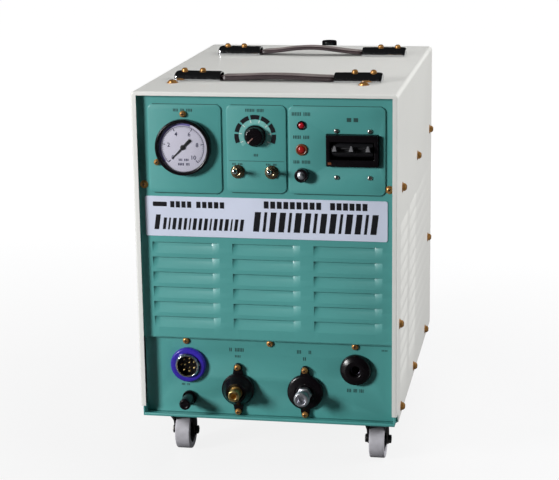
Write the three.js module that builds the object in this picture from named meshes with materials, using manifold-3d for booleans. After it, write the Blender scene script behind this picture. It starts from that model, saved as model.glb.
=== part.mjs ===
// A plasma cutter power source on four swivel castors: a wrapped sheet-metal casing over a chassis, a control
// panel, a row of output connectors, two carrying straps, and the fan, air regulator and mains gland on its back.
// Millimetres, +Z up, front towards -Y. The machine group has its zero on the casing's front edge, on the
// underside of the base pan, in the middle of the width; the last lines move it onto the floor's middle.
import * as THREE from "three";
import { mergeVertices } from "three/addons/utils/BufferGeometryUtils.js";
import Module from "manifold-3d";

const wasm = await Module();
wasm.setup();

// ---- driving dimensions ----
const WIDTH = 330; // casing, side to side
const DEPTH = 470; // casing, front edge to rear edge
const HEIGHT = 420; // base pan's underside to the casing's top
const SHEET = 1.5; // sheet-metal thickness
const GAP = 0.3; // clearance between neighbouring pieces
const LIP = 6.5; // casing's inward lip down each side, front and rear
const TOP_LIP = 5; // and along the top
const CORNER = 5; // outside radius of the casing's two long folds
const PANEL_Y = 9; // control panel's face, behind the casing's front edge
const LOWER_Y = 15; // connector panel's face
const SEAM_Z = 103.5; // control panel's lower edge
const REAR_Y = DEPTH - 10; // rear panel's outer face
const NOTCH = { depth: 16, height: 13 }; // casing's cut-away at its two lower front corners
const LOUVER = { width: 86, mouth: 4.5, pitch: 19.4 };
const FRONT_LOUVERS = { columns: [-102.5, 0, 102.5], rows: 6, top: 228.5 };
const SIDE_LOUVERS = { columns: [81, 191], rows: 11, top: 252 };
const CASTOR = { height: 65, radius: 25, width: 20, trail: 22, inset: 37, offset: 6, fromEdge: 43, facets: 20 };
const HALF = WIDTH / 2;
const WALL_X = HALF - SHEET - GAP; // outermost place for a chassis piece inside the casing

// ---- finishes ----
const finish = (color, roughness, metalness) => new THREE.MeshStandardMaterial({ color, roughness, metalness });
const CREAM = finish(0xeceae4, 0.45, 0);
const TEAL = finish(0x4f9a92, 0.5, 0);
const BLACK = finish(0x141414, 0.4, 0);
const CHROME = finish(0xc9ccd0, 0.2, 1);
const BRASS = finish(0xc59a4a, 0.3, 1);
const ZINC = finish(0x8f9296, 0.4, 1);
const BLUE = finish(0x3a2fa8, 0.4, 0);
const WHITE = finish(0xf2f2f6, 0.4, 0);
const RUBBER = finish(0x1d1a1c, 0.7, 0);
const WHEEL = finish(0xbdbcc4, 0.6, 0);
const RED = finish(0xb3261c, 0.3, 0);
const AMBER = finish(0xc9541e, 0.3, 0);
const GREEN = finish(0x1f6a3a, 0.6, 0);
const COPPER = finish(0x9a5a34, 0.5, 0.6);
const ALUMINIUM = finish(0xa9adb1, 0.4, 1);
const CLEAR = finish(0xdfe8ea, 0.1, 0);

// ---- solids: geometry in, geometry out ----
function solidOf(geometry) {
  const bare = new THREE.BufferGeometry().setAttribute("position", geometry.getAttribute("position"));
  if (geometry.index) bare.setIndex(geometry.index);
  const merged = mergeVertices(bare, 1e-3);
  const corners = merged.index.array;
  const kept = [];
  for (let i = 0; i < corners.length; i += 3) {
    const [a, b, c] = corners.slice(i, i + 3);
    if (a !== b && b !== c && c !== a) kept.push([a, b, c]);
  }
  const made = (triangles) =>
    new wasm.Manifold(
      new wasm.Mesh({
        numProp: 3,
        vertProperties: new Float32Array(merged.attributes.position.array),
        triVerts: new Uint32Array(triangles.flat()),
      }),
    );
  const solid = made(kept);
  return solid.volume() < 0 ? made(kept.map(([a, b, c]) => [a, c, b])) : solid;
}

function geometryOf(solid) {
  const mesh = solid.getMesh();
  return new THREE.BufferGeometry()
    .setAttribute("position", new THREE.BufferAttribute(mesh.vertProperties, 3))
    .setIndex(new THREE.BufferAttribute(mesh.triVerts, 1));
}

const join = (...pieces) => geometryOf(pieces.map(solidOf).reduce((all, next) => all.add(next)));
const cut = (body, ...tools) => geometryOf(tools.map(solidOf).reduce((left, tool) => left.subtract(tool), solidOf(body)));
const within = (body, limit) => geometryOf(solidOf(body).intersect(solidOf(limit)));

// A box from one corner to the other.
function box(x0, x1, y0, y1, z0, z1) {
  return new THREE.BoxGeometry(x1 - x0, y1 - y0, z1 - z0).translate((x0 + x1) / 2, (y0 + y1) / 2, (z0 + z1) / 2);
}

// A turned piece: profile points are [radius, place along the axis], from one end of the axis to the other.
function turned(profile, facets = 16, axis = "y", phase = 0) {
  const points = profile.map(([radius, along]) => new THREE.Vector2(radius, along));
  const shape = new THREE.LatheGeometry(points, facets, phase);
  if (axis === "x") shape.rotateZ(-Math.PI / 2);
  if (axis === "z") shape.rotateX(Math.PI / 2);
  return shape;
}

const rod = (radius, from, to, facets = 16, axis = "y", phase = 0) =>
  turned([[0, from], [radius, from], [radius, to], [0, to]], facets, axis, phase);

// A hexagon prism along Y, measured across its flats.
const hexagon = (flats, from, to) => rod(flats / Math.sqrt(3), from, to, 6);

// An outline of [x, z] points pushed along Y.
function plate(points, from, to) {
  const shape = new THREE.Shape(points.map(([x, z]) => new THREE.Vector2(x, z)));
  return new THREE.ExtrudeGeometry(shape, { depth: to - from, bevelEnabled: false })
    .rotateX(Math.PI / 2)
    .translate(0, to, 0);
}

const machine = new THREE.Group();

function piece(name, geometry, material, at = [0, 0, 0], parent = machine) {
  const mesh = new THREE.Mesh(geometryOf(solidOf(geometry)), material);
  mesh.name = name;
  mesh.position.set(...at);
  parent.add(mesh);
  return mesh;
}

// ---- louvers ----
// The open mouths of a grid of louvers, as boxes to cut from a sheet. In its own frame a mouth lies along X with
// its upper edge at z = 0; place(shape, column, row) puts it where it belongs.
function louverMouths({ columns, rows }, place) {
  const mouth = () => box(-LOUVER.width / 2, LOUVER.width / 2, -4, 4, -LOUVER.mouth, 0);
  return columns.flatMap((column) => Array.from({ length: rows }, (_, row) => place(mouth(), column, row)));
}

// Axes that turn a shape drawn as (inwards, up) and pushed forwards into one that is pushed along X.
const SLOT_AXES = [new THREE.Vector3(0, 1, 0), new THREE.Vector3(0, 0, 1), new THREE.Vector3(1, 0, 0)];

// ---- casing and chassis ----
// The casing's section, an inverted U with round upper corners, drawn `inset` inside the outer face.
function casingSection(inset, bottom, topInset = inset, facets = 3) {
  const side = HALF - inset;
  const top = HEIGHT - topInset;
  const radius = Math.max(CORNER - inset, 0.5);
  const points = [[side, bottom]];
  for (const [centre, start] of [[side - radius, 0], [-side + radius, Math.PI / 2]]) {
    for (let i = 0; i <= facets; i++) {
      const angle = start + (i / facets) * (Math.PI / 2);
      points.push([centre + radius * Math.cos(angle), top - radius + radius * Math.sin(angle)]);
    }
  }
  points.push([-side, bottom]);
  return points;
}

// A sheet trimmed to fit inside the casing's folds.
const insideCasing = (sheet) => within(sheet, plate(casingSection(SHEET + GAP, -1), 0, DEPTH));

function makeCasing() {
  const bottom = 1;
  const outer = plate(casingSection(0, bottom), 0, DEPTH);
  const hollow = plate(casingSection(SHEET, bottom - 1), 2, DEPTH - 2);
  const window = plate(casingSection(LIP, bottom - 1, TOP_LIP), -1, DEPTH + 1);
  const frontNotch = box(-HALF - 1, HALF + 1, -1, NOTCH.depth, 0, NOTCH.height);
  const vents = [1, -1].flatMap((side) =>
    louverMouths(SIDE_LOUVERS, (shape, column, row) =>
      shape.rotateZ(Math.PI / 2).translate(side * HALF, column, SIDE_LOUVERS.top - row * LOUVER.pitch)));
  piece("outer_casing", cut(outer, hollow, window, frontNotch, ...vents), CREAM);
}

function makeBasePan() {
  const rear = REAR_Y + SHEET;
  const wallHeight = 22;
  const floor = box(-WALL_X, WALL_X, NOTCH.depth + GAP, rear, 0, 2);
  const half = HALF - 3;
  const shelf = box(-half, half, 0, NOTCH.depth - GAP, 0, 2);
  const tongue = box(-WALL_X, WALL_X, NOTCH.depth - 1, NOTCH.depth + 1, 0, 2);
  const hem = box(-half, half, 0, 3, 0, 3.8);
  const walls = [-1, 1].map((side) =>
    box(Math.min(side * WALL_X, side * (WALL_X - SHEET)), Math.max(side * WALL_X, side * (WALL_X - SHEET)),
      NOTCH.depth + 3, REAR_Y - 3, 0, wallHeight));
  const corners = [-1, 1].map((side) => {
    const edges = [side * half, side * (half - 3)].sort((a, b) => a - b);
    return box(edges[0], edges[1], 0, LOWER_Y - GAP, 0, NOTCH.height - GAP);
  });
  piece("base_pan", join(floor, shelf, tongue, hem, ...walls, ...corners), TEAL);
}

function roundHoles(holes, from, to) {
  return holes.map(([x, z, radius]) => rod(radius, from, to).translate(x, 0, z));
}

// Where each control and connector sits on the front: x, z.
const AT = {
  gauge: [-101, 350.8],
  knob: [-11, 366],
  leftToggle: [-33.5, 321],
  rightToggle: [9, 321],
  button: [47, 319],
  powerLamp: [46.5, 380],
  faultLamp: [46.5, 350],
  breaker: [109, 350],
  controlSocket: [-104.3, 66.8],
  fuse: [-103.5, 22.5],
  pilot: [-39.5, 37],
  torch: [47, 36.9],
  work: [111.5, 69],
};
const BREAKER = { width: 63.5, height: 39, proud: 8 };

function makeFrontPanel() {
  const back = PANEL_Y + SHEET;
  const top = HEIGHT - SHEET - GAP - 1;
  const face = box(-WALL_X, WALL_X, PANEL_Y, back, SEAM_Z, top);
  const foot = box(-156, 156, PANEL_Y, LOWER_Y - GAP, SEAM_Z, SEAM_Z + SHEET);
  const flanges = [-1, 1].map((side) => {
    const edges = [side * WALL_X, side * (WALL_X - SHEET)].sort((a, b) => a - b);
    return box(edges[0], edges[1], PANEL_Y, PANEL_Y + 14, SEAM_Z, top);
  });
  const holes = roundHoles(
    [
      [...AT.gauge, 31.5],
      [...AT.knob, 4],
      [...AT.leftToggle, 6.3],
      [...AT.rightToggle, 6.3],
      [...AT.button, 6.3],
      [...AT.powerLamp, 4.1],
      [...AT.faultLamp, 5.3],
    ],
    PANEL_Y - 1,
    back + 1,
  );
  const [bx, bz] = AT.breaker;
  const halfWide = BREAKER.width / 2 + GAP;
  const halfHigh = BREAKER.height / 2 + GAP;
  const breakerHole = box(bx - halfWide, bx + halfWide, PANEL_Y - 1, back + 1, bz - halfHigh, bz + halfHigh);
  const vents = louverMouths(FRONT_LOUVERS, (shape, column, row) =>
    shape.translate(column, PANEL_Y, FRONT_LOUVERS.top - row * LOUVER.pitch));
  piece("front_panel", cut(insideCasing(join(face, foot, ...flanges)), ...holes, breakerHole, ...vents), TEAL);
}

function makeLowerPanel() {
  const face = box(-WALL_X + 3, WALL_X - 3, LOWER_Y, LOWER_Y + SHEET, 2 + GAP, SEAM_Z + 14);
  const holes = roundHoles(
    [
      [...AT.controlSocket, 15.5],
      [...AT.fuse, 6.5],
      [...AT.pilot, 10.5],
      [...AT.torch, 10.5],
      [...AT.work, 14.5],
    ],
    LOWER_Y - 1,
    LOWER_Y + SHEET + 1,
  );
  piece("lower_front_panel", cut(face, ...holes), TEAL);
}

// Fan, air regulator and mains gland on the rear: x, z.
const FAN = { at: [-80, 255], frame: 119, bore: 57, depth: 25 };
const REGULATOR_AT = [8, 365];
const GLAND_AT = [105, 60];

function makeRearPanel() {
  const inner = REAR_Y - SHEET;
  const face = box(-WALL_X, WALL_X, inner, REAR_Y, 2 + GAP, HEIGHT - SHEET - GAP - 1);
  const holes = roundHoles([[...FAN.at, FAN.bore - 1], [...GLAND_AT, 10.5], [...REGULATOR_AT, 7]], inner - 1, REAR_Y + 1);
  piece("rear_panel", cut(insideCasing(face), ...holes), TEAL);
}

// ---- control panel ----
function makeGauge() {
  const [x, z] = AT.gauge;
  const face = PANEL_Y - GAP;
  const front = PANEL_Y - 12;
  const dial = PANEL_Y - 6;
  const housing = turned(
    [[0, dial], [30.6, dial], [30.6, front], [33.6, front], [35, front + 1.5], [35, face], [30, face],
      [30, PANEL_Y + 22], [12, PANEL_Y + 25], [6, PANEL_Y + 25], [6, PANEL_Y + 38], [0, PANEL_Y + 38]],
    28,
  );
  piece("pressure_gauge", housing, BLACK, [x, 0, z]);
  piece("gauge_lens", rod(30.2, front + 1.2, front + 2.4, 28), CLEAR, [x, 0, z]);
  const blade = plate([[-2, -13.7], [2, -13.7], [1.1, 0], [0.4, 20], [-0.4, 20], [-1.1, 0]], dial - 2, dial - 1.2);
  const needle = join(blade, rod(3.2, dial - 2.6, dial - GAP, 12)).rotateY((-135 * Math.PI) / 180);
  piece("gauge_needle", needle, BLACK, [x, 0, z]);
}

function makeKnob() {
  const skirt = [[0, -3.5], [10.8, -3.5], [11.7, -2.6], [12, 4.5], [13.5, 5.5], [13.5, 7.3], [3, 7.3], [3, 34], [0, 34]];
  piece("current_knob", turned(skirt, 20), BLACK, [AT.knob[0], 0, AT.knob[1]]);
}

const TOGGLE = { pivotY: 6, tilt: (12 * Math.PI) / 180, reach: 20 };

function makeToggle(side, [x, z]) {
  const collar = join(hexagon(14, PANEL_Y - 3.8, PANEL_Y - GAP), rod(5.8, PANEL_Y - 7, PANEL_Y + 4));
  const body = box(-6.5, 6.5, PANEL_Y + SHEET + GAP, PANEL_Y + 24, -10, 10);
  const socket = turned([[0, 0], [4.9, 0], [4.4, PANEL_Y + 3], [0, PANEL_Y + 3]], 12);
  piece(`${side}_toggle_body`, cut(join(collar, body), socket), ZINC, [x, 0, z]);
  const { pivotY, tilt, reach } = TOGGLE;
  const lever = turned(
    [[0, -reach], [2, -reach + 0.4], [2.9, -reach + 1.6], [2.9, -reach + 4], [1.7, -3], [1.7, -1], [3, 0.8], [2.6, 2.6], [0, 3.4]],
    10,
  );
  piece(`${side}_toggle_lever`, lever.rotateX(-tilt), CHROME, [x, pivotY, z]);
}

function makeButton() {
  const [x, z] = AT.button;
  const front = PANEL_Y - 12;
  const bezel = turned(
    [[0, PANEL_Y - 1], [5.1, PANEL_Y - 1], [5.1, front], [7.5, front], [8.5, front + 1], [8.5, PANEL_Y - GAP],
      [6, PANEL_Y - GAP], [6, PANEL_Y + 22], [0, PANEL_Y + 22]],
    18,
  );
  piece("button_bezel", bezel, BLACK, [x, 0, z]);
  const plunger = turned([[0, front - 3], [4, front - 3], [4.75, front - 2.2], [4.75, PANEL_Y - 4.4], [0, PANEL_Y - 4.4]], 14);
  piece("push_button", plunger, CHROME, [x, 0, z]);
}

function makeLamp(name, [x, z], scale, material) {
  const face = PANEL_Y - GAP;
  const profile = [[0, 3.2], [2, 3.6], [3.6, 5], [4, 7], [5.3, 7.2], [5.3, face], [3.8, face], [3.8, 26], [0, 26]];
  piece(name, turned(profile.map(([radius, y]) => [radius * scale, y]), 14), material, [x, 0, z]);
}

function makeBreaker() {
  const [x, z] = AT.breaker;
  const halfWide = BREAKER.width / 2;
  const halfHigh = BREAKER.height / 2;
  const front = PANEL_Y - BREAKER.proud;
  const nose = box(-halfWide, halfWide, front, PANEL_Y + 6, -halfHigh, halfHigh);
  const back = box(-halfWide, halfWide, PANEL_Y + SHEET + GAP, 70, -halfHigh - 16, halfHigh + 12);
  const slot = box(-27, 27, front - 1, 30, -11, 11);
  piece("breaker_body", cut(join(nose, back), slot), BLACK, [x, 0, z]);
  const rocker = rod(9, -25.5, 25.5, 18, "x");
  const levers = [-20, 0, 20].map((at) => box(at - 3, at + 3, -18, -6, -2.2, 2.2));
  const handle = join(rocker, ...levers).rotateX((-18 * Math.PI) / 180);
  piece("breaker_handle", handle, BLACK, [x, BREAKER_PIVOT_Y, z]);
}
const BREAKER_PIVOT_Y = 12;

// ---- connectors ----
function makeControlSocket() {
  const [x, z] = AT.controlSocket;
  const face = LOWER_Y - GAP;
  const collar = turned([[15.6, 9.5], [21.5, 9.5], [23, 11], [23, face], [15.6, face], [15.6, 9.5]], 24);
  piece("control_socket_collar", collar, BLUE, [x, 0, z]);
  const shell = turned([[0, 24], [12.6, 24], [12.6, 5], [14.4, 5], [15.2, 6], [15.2, 40], [0, 40]], 20);
  piece("control_socket_shell", shell, CHROME, [x, 0, z]);
}

function makeFuse() {
  const [x, z] = AT.fuse;
  const face = LOWER_Y - GAP;
  const holder = turned([[0, 11.5], [5, 11.5], [5, 10], [9, 10], [9.5, 10.6], [9.5, face], [6.2, face], [6.2, 52], [0, 52]], 16);
  piece("fuse_holder", holder, BLACK, [x, 0, z]);
  const grip = turned([[0, -17], [5.5, -17], [7.3, -15.4], [7.6, 9.7], [0, 9.7]], 14);
  const screwSlot = box(-0.9, 0.9, -18, -15.2, -5, 5);
  piece("fuse_cap", cut(grip, screwSlot), BLACK, [x, 0, z]);
}

// A round insulating boss with an ear and a screw above and below it.
const FLANGE = { earPitch: 29.5, earRadius: 5, bore: 8.4 };
const PILOT_BOSS = { radius: 21, front: -4 };
const TORCH_BOSS = { radius: 23, front: 6.5 };

function terminalFlange(name, [x, z], { radius, front }) {
  const face = LOWER_Y - GAP;
  const { earPitch, earRadius, bore } = FLANGE;
  const disc = turned([[0, front], [radius - 2.5, front], [radius, front + 2.5], [radius, face], [0, face]], 22);
  const ears = [-1, 1].flatMap((side) => [
    rod(earRadius, 10.5, face, 10).translate(0, 0, side * earPitch),
    box(-earRadius, earRadius, 10.5, face, Math.min(0, side * earPitch), Math.max(0, side * earPitch)),
  ]);
  const neck = rod(10.2, face - 1, LOWER_Y + 14);
  piece(name, cut(join(disc, ...ears, neck), rod(bore, -10, 40)), BLACK, [x, 0, z]);
}

function makeTerminals() {
  terminalFlange("pilot_terminal_flange", AT.pilot, PILOT_BOSS);
  const stud = turned([[0, -4], [3.6, -4], [3.6, -18], [6.6, -18], [8, -16.6], [8, 44], [0, 44]], 18);
  piece("pilot_terminal_stud", stud, BRASS, [AT.pilot[0], 0, AT.pilot[1]]);
  terminalFlange("torch_terminal_flange", AT.torch, TORCH_BOSS);
  const shank = turned(
    [[0, -12], [5.5, -12], [5.5, -20], [8.6, -20], [9.6, -18.6], [9.6, -11], [6.4, -7], [6.4, 3], [8, 4], [8, 44], [0, 44]],
    18,
  );
  const adaptor = join(shank, hexagon(17.5, -1, TORCH_BOSS.front - GAP));
  piece("torch_adaptor", adaptor, CHROME, [AT.torch[0], 0, AT.torch[1]]);
}

function makeWorkSocket() {
  const face = LOWER_Y - GAP;
  const body = turned(
    [[0, 38], [7, 38], [7, 4.5], [12.5, 4.5], [18.5, 7.5], [20, 11], [20, face], [14.2, face], [14.2, 50], [0, 50]],
    24,
  );
  piece("work_socket", body, BLACK, [AT.work[0], 0, AT.work[1]]);
}

// ---- carrying straps on the top ----
const STRAP = { halfLength: 91, width: 24, thickness: 4.5, rest: 2.3 };
const CAP = { length: 60, depth: 28, height: 11, wall: 1.3, reach: 133 };

// The strap's underside: flat inside the caps, and a low arch between them.
function strapHeight(x, rise) {
  const open = CAP.reach - CAP.length;
  const share = Math.min(Math.abs(x) / open, 1);
  return STRAP.rest + (rise * (1 + Math.cos(Math.PI * share))) / 2;
}

function makeHandle(name, x, y, rise) {
  const steps = 18;
  const places = Array.from({ length: steps + 1 }, (_, i) => -STRAP.halfLength + (2 * STRAP.halfLength * i) / steps);
  const lower = places.map((place) => [place, strapHeight(place, rise)]);
  const upper = lower.map(([place, height]) => [place, height + STRAP.thickness]).reverse();
  const strap = plate([...lower, ...upper], -STRAP.width / 2, STRAP.width / 2);
  piece(`${name}_strap`, strap, RUBBER, [x, y, HEIGHT]);
  for (const [side, sign] of [["left", -1], ["right", 1]]) {
    const outer = [sign * CAP.reach, sign * (CAP.reach - CAP.length)].sort((a, b) => a - b);
    const inner = [sign * (CAP.reach - CAP.wall - 20), sign * (CAP.reach - CAP.length - 1)].sort((a, b) => a - b);
    const shell = box(outer[0], outer[1], -CAP.depth / 2, CAP.depth / 2, GAP, CAP.height + GAP);
    const pocket = box(inner[0], inner[1], -CAP.depth / 2 + CAP.wall, CAP.depth / 2 - CAP.wall, 0, CAP.height + GAP - CAP.wall);
    piece(`${name}_cap_${side}`, cut(shell, pocket), CHROME, [x, y, HEIGHT]);
  }
}

// ---- castors ----
const AXLE_Z = -CASTOR.height + CASTOR.radius * Math.cos(Math.PI / CASTOR.facets); // a wheel facet lies on the floor

function makeCastor(corner, x, y) {
  const plateZ = -GAP - 2.5;
  const mount = join(
    box(-22, 22, -22, 22, plateZ, -GAP),
    turned([[0, -8], [12, -8], [16, plateZ + 0.5], [0, plateZ + 0.5]], 14, "z"),
    rod(4, -13, -6, 10, "z"),
    rod(6.5, -13.4, -11.4, 6, "z"),
  );
  piece(`castor_${corner}_plate`, mount, ZINC, [x, y, 0]);

  const legX = CASTOR.width / 2 + 1.6;
  const crown = cut(box(-legX - 2, legX + 2, -14, 20, -11.1, -8.3), rod(4.6, -12, -7, 10, "z"));
  const outline = [[-14, -8.3], [20, -8.3], [28, AXLE_Z + 8], [28, AXLE_Z - 4], [24, AXLE_Z - 7], [18, AXLE_Z - 6], [8, -24]];
  const leg = (inner) =>
    new THREE.ExtrudeGeometry(new THREE.Shape(outline.map(([a, b]) => new THREE.Vector2(a, b))), {
      depth: 2,
      bevelEnabled: false,
    })
      .applyMatrix4(new THREE.Matrix4().makeBasis(...SLOT_AXES))
      .translate(inner, 0, 0);
  const axle = join(
    rod(3, -legX - 5.5, legX + 5.5, 10, "x"),
    rod(5.6, -legX - 5, -legX - 1.5, 6, "x"),
    rod(5.6, legX + 1.5, legX + 5, 6, "x"),
  ).translate(0, CASTOR.trail, AXLE_Z);
  piece(`castor_${corner}_fork`, join(crown, leg(legX), leg(-legX - 2), axle), ZINC, [x, y, 0]);

  const { radius } = CASTOR;
  const half = CASTOR.width / 2;
  const tyre = turned(
    [[3.6, -half - 1], [8, -half - 1], [9, -half + 2.5], [23.4, -half], [radius, -half + 2], [radius, half - 2],
      [23.4, half], [9, half - 2.5], [8, half + 1], [3.6, half + 1], [3.6, -half - 1]],
    CASTOR.facets,
    "x",
    Math.PI / 2 + Math.PI / CASTOR.facets,
  );
  piece(`castor_${corner}_wheel`, tyre, WHEEL, [x, y + CASTOR.trail, AXLE_Z]);
}

// ---- rear ----
function makeFan() {
  const [x, z] = FAN.at;
  const outer = REAR_Y - SHEET - GAP;
  const inner = outer - FAN.depth;
  const half = FAN.frame / 2;
  const frame = cut(box(-half, half, inner, outer, -half, half), rod(FAN.bore, inner - 1, outer + 1, 28));
  const arms = [0, 1, 2].map((i) => box(-3, 3, inner, inner + 3, 0, FAN.bore + 2).rotateY((i * 2 * Math.PI) / 3));
  const motor = rod(18, inner, inner + 5, 20);
  piece("fan_frame", join(frame, motor, ...arms), BLACK, [x, 0, z]);

  const blade = (i) =>
    box(-14, 14, -0.9, 0.9, 16, FAN.bore - 2)
      .rotateZ((-38 * Math.PI) / 180)
      .translate(0, inner + 15.5, 0)
      .rotateY((i * 2 * Math.PI) / 7);
  const hub = rod(19, inner + 5 + GAP, outer - 2, 20);
  const swept = turned([[0, inner + 5.5], [FAN.bore - 1.5, inner + 5.5], [FAN.bore - 1.5, outer - 1], [0, outer - 1]], 28);
  const blades = geometryOf([0, 1, 2, 3, 4, 5, 6].map((i) => solidOf(blade(i))).reduce((a, b) => a.add(b)).intersect(solidOf(swept)));
  piece("fan_rotor", join(hub, blades), BLACK, [x, 0, z]);

  const wireFrom = REAR_Y + 4;
  const ring = (radius) => {
    const half = 1.1;
    return turned(
      [[radius - half, wireFrom], [radius + half, wireFrom], [radius + half, wireFrom + 2.2], [radius - half, wireFrom + 2.2],
        [radius - half, wireFrom]],
      18,
    );
  };
  const spokes = [45, 135].map((angle) =>
    box(-74, 74, wireFrom + 0.4, wireFrom + 1.8, -1.1, 1.1).rotateY((angle * Math.PI) / 180));
  const feet = [45, 135, 225, 315].map((angle) =>
    rod(5, REAR_Y + GAP, wireFrom + 2, 8).translate(74, 0, 0).rotateY((angle * Math.PI) / 180));
  piece("fan_guard", join(rod(9, wireFrom, wireFrom + 2.2, 16), ...[22, 37, 52].map(ring), ...spokes, ...feet), ZINC, [x, 0, z]);
}

const REGULATOR_Y = REAR_Y + 44; // the regulator's own axis, upright behind the rear panel

function makeRegulator() {
  const [x, z] = REGULATOR_AT;
  const block = box(-19, 19, -17, 17, -16, 14);
  const bonnet = turned([[0, 13], [15, 13], [14, 24], [8, 30], [8, 34], [0, 34]], 16, "z");
  const nipple = join(rod(6.6, -REGULATOR_Y + REAR_Y - 26, -16, 12), hexagon(18, -REGULATOR_Y + REAR_Y + GAP, -REGULATOR_Y + REAR_Y + 9));
  const inlet = rod(9, 18, 27, 16, "x");
  const port = rod(5.5, 10, 28, 12, "x");
  piece("regulator_body", cut(join(block, bonnet, nipple, inlet), port), ALUMINIUM, [x, REGULATOR_Y, z]);
  const bowl = turned([[0, -66], [3, -66], [3, -60], [9, -60], [13.5, -54], [15, -46], [15, -16.3], [0, -16.3]], 18, "z");
  piece("regulator_bowl", bowl, CLEAR, [x, REGULATOR_Y, z]);
  const knobBase = 34 + GAP;
  const knob = turned([[0, knobBase], [10, knobBase], [11, knobBase + 1], [11, 56.5], [10, 57.8], [0, 57.8]], 16, "z");
  piece("regulator_knob", knob, BLACK, [x, REGULATOR_Y, z]);
}

function makeGland() {
  const [x, z] = GLAND_AT;
  const outer = REAR_Y + GAP;
  const profile = [[7, outer + 28], [7, REAR_Y - 18], [10.2, REAR_Y - 18], [10.2, outer], [14, outer], [14, outer + 10],
    [12.5, outer + 11], [12.5, outer + 20], [9.5, outer + 28], [7, outer + 28]];
  const nut = cut(hexagon(28, outer, outer + 8), rod(9, outer - 1, outer + 9));
  piece("mains_gland", join(turned(profile, 18), nut), BLACK, [x, 0, z]);
}

// ---- inside ----
function makeInternals() {
  const shelfZ = 200;
  const shelf = join(
    box(-156, 156, 90, 410, shelfZ, shelfZ + SHEET),
    box(-156, -156 + SHEET, 90, 410, shelfZ - 16, shelfZ + SHEET),
    box(156 - SHEET, 156, 90, 410, shelfZ - 16, shelfZ + SHEET),
  );
  piece("equipment_shelf", shelf, ZINC);

  const sinkZ = shelfZ + SHEET + GAP;
  const fins = Array.from({ length: 13 }, (_, i) => box(-118 + i * 14.5, -114 + i * 14.5, 130, 380, sinkZ + 6, sinkZ + 42));
  piece("heat_sink", join(box(-118, 60, 130, 380, sinkZ, sinkZ + 8), ...fins), ALUMINIUM);

  const boardZ = sinkZ + 42 + GAP + 10;
  const capacitors = [-90, -45, 0, 40].map((x) => rod(16, boardZ + 1, boardZ + 46, 14, "z").translate(x, 175, 0));
  const spacers = [[-112, 140], [52, 140], [-112, 330], [52, 330]].map(([x, y]) =>
    box(x - 3, x + 3, y - 3, y + 3, sinkZ + 42 + GAP, boardZ + 1));
  const modules = box(-95, 30, 240, 300, boardZ + 1, boardZ + 18);
  piece("inverter_board", join(box(-118, 58, 132, 340, boardZ, boardZ + 1.6), ...capacitors, ...spacers, modules), GREEN);

  const floor = 2 + GAP;
  const core = box(-70, 50, 150, 250, floor, 100);
  const winding = join(box(-50, 30, 132, 268, 18, 84), box(-64, 44, 160, 240, 96, 112));
  piece("main_transformer", join(core, winding), COPPER);

  const choke = turned([[14, floor], [38, floor], [40, floor + 4], [40, floor + 40], [38, floor + 44], [14, floor + 44], [14, floor]], 18, "z");
  piece("output_choke", choke.translate(105, 200, 0), COPPER);

  const valve = join(box(-142, -108, 330, 372, floor, 34), rod(13, 33, 68, 14, "z").translate(-125, 351, 0));
  piece("air_solenoid_valve", valve, BRASS);

  const [kx, kz] = AT.knob;
  const pot = rod(11, 27, 41, 14).translate(kx, 0, kz);
  const shaftHole = rod(3.4, 26, 44).translate(kx, 0, kz);
  const chips = [box(-50, -30, 41, 46, 380, 400), box(10, 34, 41, 47, 340, 352)];
  piece("control_board", cut(join(box(-60, 34, 40, 41.6, 335, 405), pot, ...chips), shaftHole), GREEN);
}

makeCasing();
makeBasePan();
makeFrontPanel();
makeLowerPanel();
makeRearPanel();
makeGauge();
makeKnob();
makeToggle("left", AT.leftToggle);
makeToggle("right", AT.rightToggle);
makeButton();
makeLamp("power_lamp", AT.powerLamp, 1, RED);
makeLamp("fault_lamp", AT.faultLamp, 1.3, AMBER);
makeBreaker();
makeControlSocket();
makeFuse();
makeTerminals();
makeWorkSocket();
makeHandle("front_handle", 1, 107, 3);
makeHandle("rear_handle", 4, DEPTH - 107, 6);
for (const [end, y] of [["front", CASTOR.fromEdge], ["rear", DEPTH - CASTOR.fromEdge - 2 * CASTOR.trail]])
  for (const [side, sign] of [["left", -1], ["right", 1]])
    makeCastor(`${end}_${side}`, sign * (HALF - CASTOR.inset) + CASTOR.offset, y);
makeFan();
makeRegulator();
makeGland();
makeInternals();

// Stand the machine on the floor, with the middle of its box over the origin.
const bounds = new THREE.Box3().setFromObject(machine);
machine.position.set(0, -(bounds.min.y + bounds.max.y) / 2, CASTOR.height);

export default machine;
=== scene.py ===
"""The looks of a plasma cutter power source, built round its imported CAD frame.

Shapes are drawn in the machine's own millimetres: x from the middle to the right, y back from the casing's
front edge, z up from the underside of the base pan. TO_ROW takes them to the row frame, in metres.
"""
from math import cos, pi, radians, sin

import bmesh
import bpy
from mathutils import Matrix, Vector


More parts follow.
